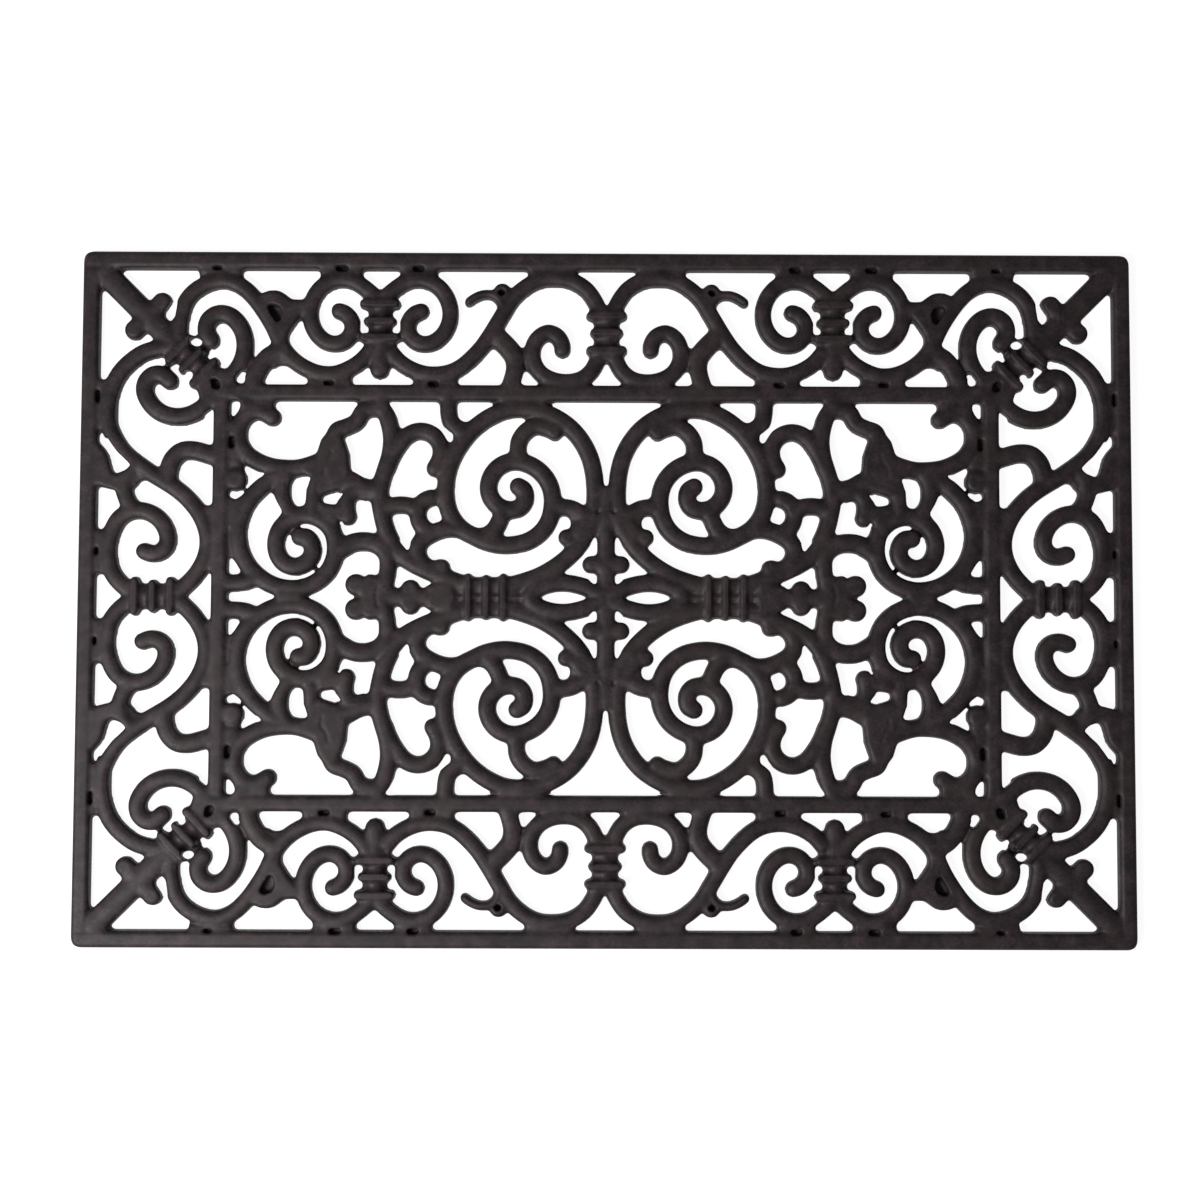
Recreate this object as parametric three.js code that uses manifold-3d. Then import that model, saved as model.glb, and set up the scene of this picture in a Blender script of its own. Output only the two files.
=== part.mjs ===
// A rubber scraper door mat, moulded to look like a forged scrollwork grille.
// Millimetres. X runs along the mat, Y towards its back edge and Z up.
// The origin is the middle of the underside.
// The grille is drawn once, for the back right quarter, and mirrored to the other three.
import * as THREE from "three";
import { mergeVertices } from "three/addons/utils/BufferGeometryUtils.js";
import Module from "manifold-3d";

// Overall sizes
const MAT_LENGTH = 600;
const MAT_WIDTH = 396;
const MAT_THICKNESS = 9;
const CORNER_RADIUS = 5;

// The two frames of straight rails
const OUTER_RAIL_WIDTH = 9.5;
const INNER_RAIL_WIDTH = 9;
const SIDE_STRIP_WIDTH = 66;
const BACK_STRIP_WIDTH = 67;

// The bars of the scrollwork
const BORDER_BAR_WIDTH = 9;
const SIDE_BAR_WIDTH = 9.4;
const FIELD_BAR_WIDTH = 9.7;
const LEAF_BAR_WIDTH = 10.4;
const TENDRIL_WIDTH = 5;
const SPEAR_WIDTH = 13.2;
const BRACKET_WIDTH = 11.2;
const BARB_WIDTH = 10.8;
const CROSS_STEM_WIDTH = 9.6;
const EYE_RADIUS = 4.6;
const BEAD_RADIUS = 5.3;
const LOBE_RADIUS = 6;
const SHOULDER_CHAMFER = 1.5;
const PAD_DROP = 0.6;
const WEB_HEIGHT = 2.4;
const EYE_ROOT_HEIGHT = 5.4;
const LOBE_STAND_OFF = 4;

// The collars that seem to tie the bars together
const COLLAR_RIB_WIDTH = 5.2;
const SLEEVE_RIB_WIDTH = 4.1;
const COLLAR_RIB_RISE = 0.8;
const COLLAR_RIB_CHAMFER = 1.6;
const COLLAR_WIDTH = 14;
const STRAND_WIDTH = 8.8;
const STRAND_HEIGHT = 7.2;
const LEDGE_HEIGHT = 4.6;
const HIGH_LEDGE_HEIGHT = 6.4;
const FINIAL_WIDTH = 11;
const NECK_WIDTH = 10;
const SLEEVE_WIDTH = 23.2;
const LONG_RIB = 23.5;
const MEDIUM_RIB = 22.3;
const SHORT_RIB = 19;
const LONG_SLEEVE_RIB = 27.4;
const SHORT_SLEEVE_RIB = 25.8;

// Blind pockets sunk into the top where a bar lies against a rail, and dimples in the leaves
const POCKET_DEPTH = 5;
const POCKET_WIDTH = 2;
const DIMPLE_RADIUS = 1.7;

// How the pieces meet, and how finely curves are cut
const JOINT_GAP = 0.3;
const CUT_OVERRUN = 2;
const CHORD_ERROR = 0.5;
const BOW_OF_ARC = 0.125;
const SHARPEST_TURN_DEGREES = 34;
const SAMPLES_PER_POINT = 16;
const CAP_ANGLES_DEGREES = [35, 66];
const ROUND_SIDES = 12;
const CORNER_STEPS = 4;
const NARROWEST_TOP_SHARE = 0.25;

// The pattern is drawn on squared paper laid over a quarter of the mat, and each point is a count of
// squares from the middle. These are the squares on which the rails' faces fall. The sizes above place
// those faces.
const LENGTH_FACE_SHARES = [0, 215.5, 224.7, 290.5, 300];
const WIDTH_FACE_SHARES = [0, 112.8, 121.5, 188.5, 198];
const BAR_HEIGHT = MAT_THICKNESS - COLLAR_RIB_RISE;
const HALF_LENGTH = MAT_LENGTH / 2;
const HALF_WIDTH = MAT_WIDTH / 2;
const OPEN_HALF_LENGTH = HALF_LENGTH - OUTER_RAIL_WIDTH;
const OPEN_HALF_WIDTH = HALF_WIDTH - OUTER_RAIL_WIDTH;
const RAIL_OUTSIDE_X = OPEN_HALF_LENGTH - SIDE_STRIP_WIDTH;
const RAIL_OUTSIDE_Y = OPEN_HALF_WIDTH - BACK_STRIP_WIDTH;
const FIELD_HALF_LENGTH = RAIL_OUTSIDE_X - INNER_RAIL_WIDTH;
const FIELD_HALF_WIDTH = RAIL_OUTSIDE_Y - INNER_RAIL_WIDTH;
const LENGTH_FACES = [0, FIELD_HALF_LENGTH, RAIL_OUTSIDE_X, OPEN_HALF_LENGTH, HALF_LENGTH];
const WIDTH_FACES = [0, FIELD_HALF_WIDTH, RAIL_OUTSIDE_Y, OPEN_HALF_WIDTH, HALF_WIDTH];

const wasm = await Module();
wasm.setup();

// Where a count of squares lies on the mat, between the two rail faces on either side of it
function alongFaces(squares, faceShares, faces) {
  let i = 1;
  while (i < faces.length - 1 && squares > faceShares[i]) i += 1;
  const share = (squares - faceShares[i - 1]) / (faceShares[i] - faceShares[i - 1]);
  return faces[i - 1] + share * (faces[i] - faces[i - 1]);
}

function onMat([x, y]) {
  return new THREE.Vector2(
    Math.sign(x) * alongFaces(Math.abs(x), LENGTH_FACE_SHARES, LENGTH_FACES),
    Math.sign(y) * alongFaces(Math.abs(y), WIDTH_FACE_SHARES, WIDTH_FACES),
  );
}

// A closed solid through a stack of outlines that all have the same number of points
function loft(rings) {
  const count = rings[0].outline.length;
  const positions = [];
  for (const ring of rings) for (const p of ring.outline) positions.push(p.x, p.y, ring.z);
  const faces = [];
  for (let r = 0; r < rings.length - 1; r += 1) {
    for (let i = 0; i < count; i += 1) {
      const a = r * count + i;
      const b = r * count + ((i + 1) % count);
      faces.push(a, b, b + count, a, b + count, a + count);
    }
  }
  const top = (rings.length - 1) * count;
  for (const [a, b, c] of THREE.ShapeUtils.triangulateShape(rings[0].outline, [])) {
    faces.push(a, c, b);
    faces.push(top + a, top + b, top + c);
  }
  const geometry = new THREE.BufferGeometry();
  geometry.setAttribute("position", new THREE.Float32BufferAttribute(positions, 3));
  geometry.setIndex(faces);
  return geometry;
}

function toSolid(geometry) {
  const merged = mergeVertices(geometry);
  return new wasm.Manifold(
    new wasm.Mesh({
      numProp: 3,
      vertProperties: merged.attributes.position.array,
      triVerts: new Uint32Array(merged.index.array),
    }),
  );
}

function toGeometry(solid) {
  const mesh = solid.getMesh();
  const geometry = new THREE.BufferGeometry();
  geometry.setAttribute("position", new THREE.BufferAttribute(mesh.vertProperties, 3));
  geometry.setIndex(new THREE.BufferAttribute(mesh.triVerts, 1));
  return geometry;
}

// A shape is an outline that can be drawn narrower or wider, with the height and the chamfer of its solid.
// Its cutter is the same outline a joint gap wider, running past the top and the underside.
function raise({ outline, height = BAR_HEIGHT, chamfer = 0 }) {
  const wall = outline(0);
  const rings = [{ outline: wall, z: 0 }];
  if (chamfer > 0) rings.push({ outline: wall, z: height - chamfer });
  rings.push({ outline: chamfer > 0 ? outline(-chamfer) : wall, z: height });
  return toSolid(loft(rings));
}

function cutter({ outline }) {
  const wall = outline(JOINT_GAP);
  return toSolid(loft([
    { outline: wall, z: -CUT_OVERRUN },
    { outline: wall, z: MAT_THICKNESS + CUT_OVERRUN },
  ]));
}

function pocketCutter({ outline }) {
  return toSolid(loft([
    { outline: outline(0), z: BAR_HEIGHT - POCKET_DEPTH },
    { outline: outline(0), z: MAT_THICKNESS + CUT_OVERRUN },
  ]));
}

// One piece: layers of shapes, each layer cut back from the neighbours it lies against, then joined
function piece(layers, pockets = []) {
  let solid = null;
  for (const { shapes, clearOf } of layers) {
    let layer = null;
    for (const shape of shapes) layer = layer ? layer.add(raise(shape)) : raise(shape);
    for (const shape of clearOf) layer = layer.subtract(cutter(shape));
    solid = solid ? solid.add(layer) : layer;
  }
  for (const pocket of pockets) solid = solid.subtract(pocketCutter(pocket));
  return toGeometry(solid);
}

// The places along a smooth line through the points where its outline needs a corner
function stations(points) {
  const line = new THREE.CatmullRomCurve3(
    points.map((p) => new THREE.Vector3(p.x, p.y, 0)),
    false,
    "centripetal",
  );
  const samples = SAMPLES_PER_POINT * (points.length - 1);
  const kept = [];
  let turned = 0;
  let run = 0;
  let last = null;
  for (let i = 0; i <= samples; i += 1) {
    const here = { place: line.getPoint(i / samples), way: line.getTangent(i / samples) };
    if (last) {
      turned += last.way.angleTo(here.way);
      run += last.place.distanceTo(here.place);
    }
    last = here;
    const bowed = turned * run * BOW_OF_ARC > CHORD_ERROR;
    const sharp = turned > THREE.MathUtils.degToRad(SHARPEST_TURN_DEGREES);
    if (i === 0 || i === samples || bowed || sharp) {
      kept.push(here);
      turned = 0;
      run = 0;
    }
  }
  return kept;
}

// A bar of even width along a line of squares. A round end bulges half a width past its last point.
function bar(squares, width, round = false) {
  const along = stations(squares.map(onMat));
  const outline = (grow) => {
    const half = Math.max(width / 2 + grow, (NARROWEST_TOP_SHARE * width) / 2);
    const spots = along.map(({ place, way }) => ({ place, way, half }));
    if (round) {
      const end = spots.at(-1);
      for (const degrees of CAP_ANGLES_DEGREES) {
        const angle = THREE.MathUtils.degToRad(degrees);
        const place = end.place.clone().addScaledVector(end.way, half * Math.sin(angle));
        spots.push({ place, way: end.way, half: half * Math.cos(angle) });
      }
    }
    const edge = (side) =>
      spots.map(({ place, way, half: reach }) =>
        new THREE.Vector2(place.x + side * way.y * reach, place.y - side * way.x * reach),
      );
    return [...edge(1), ...edge(-1).reverse()];
  };
  return { outline };
}

function discAround(middle, radius) {
  const outline = (grow) =>
    Array.from({ length: ROUND_SIDES }, (_, i) => {
      const angle = (2 * Math.PI * i) / ROUND_SIDES;
      return new THREE.Vector2(Math.cos(angle), Math.sin(angle)).multiplyScalar(radius + grow).add(middle);
    });
  return { outline };
}

function disc(centre, radius) {
  return discAround(onMat(centre), radius);
}

// A shape with straight sides through points in anticlockwise order
function polygon(points) {
  const outline = (grow) =>
    points.map((p, i) => {
      const before = points[(i + points.length - 1) % points.length];
      const after = points[(i + 1) % points.length];
      const a = p.clone().sub(before).normalize();
      const b = after.clone().sub(p).normalize();
      const out = new THREE.Vector2(a.y + b.y, -a.x - b.x);
      return p.clone().addScaledVector(out, grow / (1 + a.dot(b)));
    });
  return { outline };
}

function patch(corners) {
  return polygon(corners.map(onMat));
}

// A block between two opposite corners in squares
function block([lowX, lowY, highX, highY]) {
  return patch([[lowX, lowY], [highX, lowY], [highX, highY], [lowX, highY]]);
}

// A slightly lower block that fills the last of the gap between a bar and the rail it touches
function pad(corners) {
  return { ...block(corners), height: BAR_HEIGHT - PAD_DROP, chamfer: 0 };
}

// A thin web that closes a small gap between bars near the floor
function web(corners) {
  return { ...patch(corners), height: WEB_HEIGHT };
}

// The straight pieces have chamfered shoulders, and the curved ones plain tops
function shouldered(shape) {
  return { ...shape, chamfer: SHOULDER_CHAMFER };
}

// A straight strip of a given width between two points in squares
function strip(from, to, width) {
  return shouldered(bar([from, to], width));
}

// The two steps of a collar: a wide ledge, and a higher strand along its middle
function steps(from, to, ledgeHeight) {
  return [
    { ...bar([from, to], COLLAR_WIDTH), height: ledgeHeight },
    { ...strip(from, to, STRAND_WIDTH), height: STRAND_HEIGHT },
  ];
}

// A raised rib of a given length across the middle point, at right angles to a direction
function rib(middle, along, length, width) {
  const centre = onMat(middle);
  const way = new THREE.Vector2(...along).normalize();
  const across = new THREE.Vector2(-way.y, way.x);
  const corner = (a, b) =>
    centre.clone()
      .addScaledVector(way, (a * width) / 2)
      .addScaledVector(across, (b * length) / 2);
  const shape = polygon([corner(1, -1), corner(1, 1), corner(-1, 1), corner(-1, -1)]);
  return { ...shape, height: MAT_THICKNESS, chamfer: COLLAR_RIB_CHAMFER };
}

function flipped(shape, signX, signY) {
  const outline = (grow) => {
    const points = shape.outline(grow).map((p) => new THREE.Vector2(signX * p.x, signY * p.y));
    return signX * signY < 0 ? points.reverse() : points;
  };
  return { ...shape, outline };
}

const bothSides = (shapes) => [...shapes, ...shapes.map((s) => flipped(s, -1, 1))];
const bothEnds = (shapes) => [...shapes, ...shapes.map((s) => flipped(s, 1, -1))];

// The rails
const LOBE_Y_SHARES = 67;

const outerLongRail = shouldered(polygon(roundedRail()));
const outerShortRail = shouldered(polygon([
  new THREE.Vector2(OPEN_HALF_LENGTH, -OPEN_HALF_WIDTH + JOINT_GAP),
  new THREE.Vector2(HALF_LENGTH, -OPEN_HALF_WIDTH + JOINT_GAP),
  new THREE.Vector2(HALF_LENGTH, OPEN_HALF_WIDTH - JOINT_GAP),
  new THREE.Vector2(OPEN_HALF_LENGTH, OPEN_HALF_WIDTH - JOINT_GAP),
]));
const innerLongRail = shouldered(polygon([
  new THREE.Vector2(-RAIL_OUTSIDE_X, FIELD_HALF_WIDTH),
  new THREE.Vector2(RAIL_OUTSIDE_X, FIELD_HALF_WIDTH),
  new THREE.Vector2(RAIL_OUTSIDE_X, RAIL_OUTSIDE_Y),
  new THREE.Vector2(-RAIL_OUTSIDE_X, RAIL_OUTSIDE_Y),
]));
const innerShortRail = shouldered(polygon([
  new THREE.Vector2(FIELD_HALF_LENGTH, -FIELD_HALF_WIDTH + JOINT_GAP),
  new THREE.Vector2(RAIL_OUTSIDE_X, -FIELD_HALF_WIDTH + JOINT_GAP),
  new THREE.Vector2(RAIL_OUTSIDE_X, FIELD_HALF_WIDTH - JOINT_GAP),
  new THREE.Vector2(FIELD_HALF_LENGTH, FIELD_HALF_WIDTH - JOINT_GAP),
]));
const lobeMiddle = new THREE.Vector2(FIELD_HALF_LENGTH - LOBE_STAND_OFF, onMat([0, LOBE_Y_SHARES]).y);
const lobes = bothEnds([discAround(lobeMiddle, EYE_RADIUS)]);
const outerRails = [outerLongRail, outerShortRail];
const innerRails = [innerLongRail, innerShortRail, ...lobes];

// The back rail runs the whole length, with both outer corners rounded
function roundedRail() {
  const points = [
    new THREE.Vector2(-HALF_LENGTH, OPEN_HALF_WIDTH),
    new THREE.Vector2(HALF_LENGTH, OPEN_HALF_WIDTH),
  ];
  for (const side of [1, -1]) {
    for (let i = 0; i <= CORNER_STEPS; i += 1) {
      const turn = (Math.PI / 2) * (side > 0 ? i / CORNER_STEPS : 1 - i / CORNER_STEPS);
      points.push(new THREE.Vector2(
        side * (HALF_LENGTH - CORNER_RADIUS + CORNER_RADIUS * Math.cos(turn)),
        HALF_WIDTH - CORNER_RADIUS + CORNER_RADIUS * Math.sin(turn),
      ));
    }
  }
  return points;
}

// The collars
const CENTRE_COLLAR_SHARES = [[0, 140], [0, 164]];
const CENTRE_RIB_SHARES = [[0, 161.9], [0, 152.2], [0, 142]];
const BORDER_COLLAR_SHARES = [[130, 147], [130, 170]];
const BORDER_RIB_SHARES = [[130, 168.4], [130, 158.2], [130, 148.8]];
const FINIAL_SHARES = [[130, 148], [130, 131]];
const SIDE_COLLAR_SHARES = [[245.5, 0], [270, 0]];
const SIDE_RIB_SHARES = [[247.6, 0], [257.6, 0], [267.7, 0]];
const CORNER_COLLAR_SHARES = [[246, 143], [229, 126.5]];
const CORNER_RIB_SHARES = [[244.5, 141.3], [237.7, 134.9], [230.5, 128]];
const SLEEVE_SHARES = [[48.5, 0], [88, 0]];
const SLEEVE_RIB_SHARES = [[58.4, 0], [68.2, 0], [78.3, 0]];

function ribs(middles, along, lengths, width = COLLAR_RIB_WIDTH) {
  return middles.map((middle, i) => rib(middle, along, lengths[i], width));
}

const centreCollar = [
  ...steps(...CENTRE_COLLAR_SHARES, HIGH_LEDGE_HEIGHT),
  ...ribs(CENTRE_RIB_SHARES, [0, 1], [LONG_RIB, SHORT_RIB, LONG_RIB]),
];
const borderCollar = [
  ...steps(...BORDER_COLLAR_SHARES, LEDGE_HEIGHT),
  bar(FINIAL_SHARES, FINIAL_WIDTH, true),
  ...ribs(BORDER_RIB_SHARES, [0, 1], [LONG_RIB, SHORT_RIB, LONG_RIB]),
];
const sideCollar = [
  ...steps(...SIDE_COLLAR_SHARES, HIGH_LEDGE_HEIGHT),
  ...ribs(SIDE_RIB_SHARES, [1, 0], [MEDIUM_RIB, SHORT_RIB, MEDIUM_RIB]),
];
const cornerCollar = [
  ...steps(...CORNER_COLLAR_SHARES, LEDGE_HEIGHT),
  ...ribs(CORNER_RIB_SHARES, [1, 1], [MEDIUM_RIB, SHORT_RIB, MEDIUM_RIB]),
];
const sleeve = [
  { ...strip(...SLEEVE_SHARES, SLEEVE_WIDTH), height: STRAND_HEIGHT },
  ...ribs(SLEEVE_RIB_SHARES, [1, 0], [LONG_SLEEVE_RIB, SHORT_SLEEVE_RIB, LONG_SLEEVE_RIB], SLEEVE_RIB_WIDTH),
];

// The spear in the corner of the border
const SPEAR_SHARES = [[243, 140.5], [290, 187.5]];
const BARB_SHARES = [[254.5, 168], [270.5, 152.5]];
const SPEAR_WEB_SHARES = [
  [270.5, 189], [271.5, 186.8], [277, 181], [284, 174], [286.4, 172.5], [289, 169.6], [292, 171],
  [292, 190], [272, 190],
];
const spear = [
  strip(...SPEAR_SHARES, SPEAR_WIDTH),
  strip(...BARB_SHARES, BARB_WIDTH),
  ...BARB_SHARES.map((end) => disc(end, BARB_WIDTH / 2)),
  web(SPEAR_WEB_SHARES),
];

// The arch in the middle of the long border
const ARCH_SHARES = [
  [3.5, 163], [6.8, 170.5], [12, 177.5], [20, 182.3], [30, 183.8], [39, 182.6], [47.2, 178.2],
  [54.2, 171.5], [59.5, 163], [66.5, 151.3], [71.7, 143.6], [77, 137.8], [82.5, 132.9], [88.5, 129.6],
  [96.5, 127.9], [104, 128.2], [112, 130.8], [119, 135.3], [124.5, 141.5],
];
const ARCH_CROWN_SHARES = [[-3.5, 164], [3.5, 164], [3.5, 167], [-3.5, 167]];
const ARCH_KNOB_SHARES = [60, 175.3];
const ARCH_TENDRIL_SHARES = [[59, 165], [62, 171.5], [66, 174], [71.5, 174], [76, 171.5], [78.5, 169]];
const ARCH_BRACKET_SHARES = [[65, 151.5], [57.5, 144.5], [53, 138.5], [51.9, 132], [53, 126], [55, 120]];
const ARCH_PAD_SHARES = [[14.5, 185, 46.5, 189], [85.5, 120, 110.5, 125]];
const archHalf = [
  bar(ARCH_SHARES, BORDER_BAR_WIDTH),
  disc(ARCH_KNOB_SHARES, EYE_RADIUS),
  bar(ARCH_TENDRIL_SHARES, TENDRIL_WIDTH, true),
  bar(ARCH_BRACKET_SHARES, BRACKET_WIDTH),
  ...ARCH_PAD_SHARES.map(pad),
];
const arch = [patch(ARCH_CROWN_SHARES), ...bothSides(archHalf)];

// The two hooks below it
const CENTRE_HOOK_SHARES = [
  [3.2, 141], [5.5, 136], [9, 129.8], [14.5, 125.5], [22.5, 123.8], [31, 125], [38, 129], [42, 135.5],
  [42.4, 143], [39.5, 149], [33.8, 152.3], [28.3, 150.2], [25.6, 145.5], [25.4, 142.5],
];
const CENTRE_HOOK_ROOT_SHARES = [[-3.5, 135.5], [3.5, 135.5], [3.5, 140], [-3.5, 140]];
const CENTRE_HOOK_PAD_SHARES = [10.5, 120, 36.5, 125];
const centreHooks = [
  patch(CENTRE_HOOK_ROOT_SHARES),
  ...bothSides([bar(CENTRE_HOOK_SHARES, BORDER_BAR_WIDTH, true), pad(CENTRE_HOOK_PAD_SHARES)]),
];

// The two scrolls that meet over the border collar
const NEAR_HEART_SHARES = [
  [130, 169], [127, 172.5], [122, 177], [115, 181.5], [107, 182.8], [99, 180.3], [93, 174.3], [90, 166],
  [90.4, 158], [93.8, 151], [99.3, 146.5], [105, 145.4], [110.5, 147.5], [113.8, 152.5], [113.5, 158.5],
  [110, 163], [106.5, 164.4],
];
const FAR_HEART_SHARES = NEAR_HEART_SHARES.map(([x, y]) => [2 * FINIAL_SHARES[0][0] - x, y]);
const HEART_PAD_SHARES = [[95.5, 185, 118.5, 189], [141.5, 185, 164.5, 189]];
const heart = [
  bar(NEAR_HEART_SHARES, BORDER_BAR_WIDTH, true),
  bar(FAR_HEART_SHARES, BORDER_BAR_WIDTH, true),
  ...HEART_PAD_SHARES.map(pad),
];

// The long scroll of the border, with a tulip and a petal
const LONG_SCROLL_SHARES = [
  [133, 146], [135.5, 141.5], [141, 135.3], [148, 130.8], [156, 128], [164, 128.2], [172, 131],
  [179, 135.5], [185, 142], [191.5, 155.5], [196.3, 163.5], [202.6, 172], [209.5, 178.3], [218, 181.5],
  [226, 180.5], [234.8, 176.2], [240.8, 169.5], [243.4, 161.5], [244.5, 154], [244.5, 147],
];
const TULIP_SHARES = [
  [171, 163.5], [174.5, 162], [179.7, 155], [182.4, 150.6], [182.5, 147], [188, 147], [194, 158],
  [201, 169], [199.5, 172.6], [197, 174.6], [190, 176], [184.3, 173.6], [180, 170.7], [171, 170.6],
];
const PETAL_SHARES = [[182, 142.5], [189, 140.5], [194.5, 137], [198.8, 131], [201.3, 125.5], [202.5, 118]];
const TULIP_DIMPLE_SHARES = [189.3, 163.5];
const PETAL_WEB_SHARES = [[200, 119], [210, 119], [212, 124], [206, 137], [201, 137]];
const LONG_SCROLL_PAD_SHARES = [[146, 120, 171, 125], [207, 185, 233, 189]];
const longScroll = [
  bar(LONG_SCROLL_SHARES, BORDER_BAR_WIDTH),
  patch(TULIP_SHARES),
  bar(PETAL_SHARES, LEAF_BAR_WIDTH),
  web(PETAL_WEB_SHARES),
  ...LONG_SCROLL_PAD_SHARES.map(pad),
];

// The two hooks around the corner of the inner frame
const BACK_HOOK_SHARES = [
  [217, 123], [210, 133], [207.5, 141], [208, 149.7], [211.6, 157.2], [217.2, 161.9], [223.7, 162.3],
  [228.8, 158.3], [229.8, 152], [227, 147.2],
];
const SIDE_HOOK_SHARES = [
  [221, 119], [227, 112.5], [232.5, 107.5], [239, 104.2], [246, 103.2], [254, 105], [260.3, 109.7],
  [264.3, 117], [263.6, 123], [259.5, 127], [254.5, 127], [250.2, 123.5],
];
const HOOK_ROOT_SHARES = [
  [219, 117], [224, 109], [231, 108.5], [235, 120], [230, 128], [220, 131], [211, 127],
];
const HOOK_TIP_WEB_SHARES = [[224, 137], [229, 133], [238, 140], [239, 148], [234, 151.5], [229, 150]];
const cornerHooks = [
  bar(BACK_HOOK_SHARES, FIELD_BAR_WIDTH, true),
  bar(SIDE_HOOK_SHARES, FIELD_BAR_WIDTH, true),
  patch(HOOK_ROOT_SHARES),
  web(HOOK_TIP_WEB_SHARES),
];

// The scrolls of the short border
const SIDE_ARCH_SHARES = [
  [246, 143], [256.5, 142.2], [265, 139.8], [272.5, 134.7], [279, 127.6], [283.2, 118.4], [285, 108],
  [284.3, 98], [280.5, 89.5], [275, 82], [262, 72], [246.5, 62.3], [239, 56], [232.5, 48], [228.3, 39],
  [227, 30.5], [228.5, 22], [232.5, 14], [238.5, 7], [246, 1],
];
const SIDE_BRACKET_SHARES = [
  [221, 79.5], [229, 82], [236.5, 83.8], [243, 83], [248, 78], [250, 71.5], [250.5, 65],
];
const SIDE_SPIRAL_SHARES = [
  [268, 1], [276, 7], [281, 13.5], [283.3, 22], [283.3, 30], [281, 38.5], [277, 45], [271, 48.5],
  [264.5, 49], [258, 46.5], [252.8, 41.5], [250, 35], [250.3, 29.5], [253.5, 25.5], [258.5, 24.3],
  [263, 25.7],
];
const SIDE_LINK_SHARES = [[268, 76], [273.5, 69], [275, 61.5], [273, 54.5], [268, 48]];
const RAIL_LEAF_SHARES = [
  [272, 56], [278, 54], [283, 58.5], [293, 59.5], [293, 85], [287.5, 82.5], [283, 73], [279, 69.5],
  [272, 69],
];
const SIDE_PAD_SHARES = [[287, 95, 291, 124], [286, 13, 291, 38], [223, 14, 229, 52]];
const sideScroll = [
  bar(SIDE_ARCH_SHARES, SIDE_BAR_WIDTH),
  bar(SIDE_BRACKET_SHARES, LEAF_BAR_WIDTH),
  bar(SIDE_SPIRAL_SHARES, SIDE_BAR_WIDTH, true),
  bar(SIDE_LINK_SHARES, SIDE_BAR_WIDTH),
  patch(RAIL_LEAF_SHARES),
  ...SIDE_PAD_SHARES.map(pad),
];

// The cross in the very middle
const CROSS_STEM_SHARES = [[0, -64], [0, 64]];
const CROSS_ARM_SHARES = [[0, 19], [8.5, 19]];
const CROSS_RIBBON_SHARES = [
  [2, 52], [7.5, 42.5], [12, 35], [17, 28.1], [23, 22], [30.1, 16.7], [38.2, 12.2], [48, 8.7], [56, 6.5],
];
const CROSS_KNOB_SHARES = [22.5, 34.5];
const CROSS_WEB_SHARES = [[8, 42], [15, 31], [22, 37], [15, 46], [10, 46]];
const CROSS_EYE_SHARES = [[1, 1], [9, 5], [15, 7], [22, 8.3], [30, 8], [38, 5.6], [42.3, 2.6], [43.3, -1]];
const CROSS_ROOT_SHARES = [[40, -10], [50, -10], [50, 10], [40, 10]];
const crossQuarter = [
  bar(CROSS_ARM_SHARES, CROSS_STEM_WIDTH, true),
  bar(CROSS_RIBBON_SHARES, FIELD_BAR_WIDTH),
  disc(CROSS_KNOB_SHARES, EYE_RADIUS),
  patch(CROSS_WEB_SHARES),
  bar(CROSS_EYE_SHARES, SIDE_BAR_WIDTH),
];
const cross = [
  strip(...CROSS_STEM_SHARES, CROSS_STEM_WIDTH),
  ...bothSides([{ ...patch(CROSS_ROOT_SHARES), height: EYE_ROOT_HEIGHT }]),
  ...bothSides(bothEnds(crossQuarter)),
];

// The wheel beside it: a ring, a spiral and the short bars that tie them together
const RING_SHARES = [
  [6.5, 50], [6.3, 62], [7.3, 72.3], [9.8, 81.6], [14.3, 90.2], [20.8, 97.8], [29.6, 103.8], [39, 107.5],
  [48, 108.6], [57.2, 107.7], [67.4, 103.3], [76.8, 96], [84.3, 86.4], [89.3, 76.2], [91.5, 66], [91.4, 56],
  [89, 47.5], [84, 40.5], [78, 36],
];
const SPIRAL_SHARES = [
  [93.5, 17], [99, 16], [105, 19.5], [107.5, 26.5], [105.5, 32], [100, 36], [92, 39], [84, 39],
  [77, 35.8], [69, 32], [60, 30], [52, 30.3], [44, 32.5], [37, 37.5], [32.5, 44.5], [30.7, 53],
  [31, 60], [33.5, 67], [38.5, 73], [45.5, 77], [53, 78.2], [60, 76], [65, 71], [67.3, 64], [66, 57.5],
  [61.5, 52.3], [55.5, 50.3], [49.5, 51.3], [46.3, 56], [47, 61.5], [50.2, 63.8],
];
const SPIRAL_END_SHARES = [93.5, 17];
const WHEEL_STRUT_SHARES = [[59, 51], [61, 43], [64, 38], [69, 33]];
const WHEEL_BRANCH_SHARES = [[31, 96.5], [40, 98.5], [46, 95.5], [49.8, 90], [50.5, 84], [50, 78]];
const WHEEL_KNOB_SHARES = [29.5, 95];
const WHEEL_SPOKE_SHARES = [[5, 46], [13, 47.5], [19.5, 51], [26, 52], [32, 52]];
const WHEEL_TAIL_SHARES = [[91, 115], [91.2, 106], [89.5, 99.5], [82, 91]];
const WHEEL_PAD_SHARES = [35, 108, 61, 114];
const wheel = [
  bar(RING_SHARES, FIELD_BAR_WIDTH),
  bar(SPIRAL_SHARES, FIELD_BAR_WIDTH, true),
  disc(SPIRAL_END_SHARES, EYE_RADIUS),
  bar(WHEEL_STRUT_SHARES, SIDE_BAR_WIDTH),
  bar(WHEEL_BRANCH_SHARES, SIDE_BAR_WIDTH),
  disc(WHEEL_KNOB_SHARES, EYE_RADIUS),
  bar(WHEEL_SPOKE_SHARES, SIDE_BAR_WIDTH),
  bar(WHEEL_TAIL_SHARES, SIDE_BAR_WIDTH),
  pad(WHEEL_PAD_SHARES),
];

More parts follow.
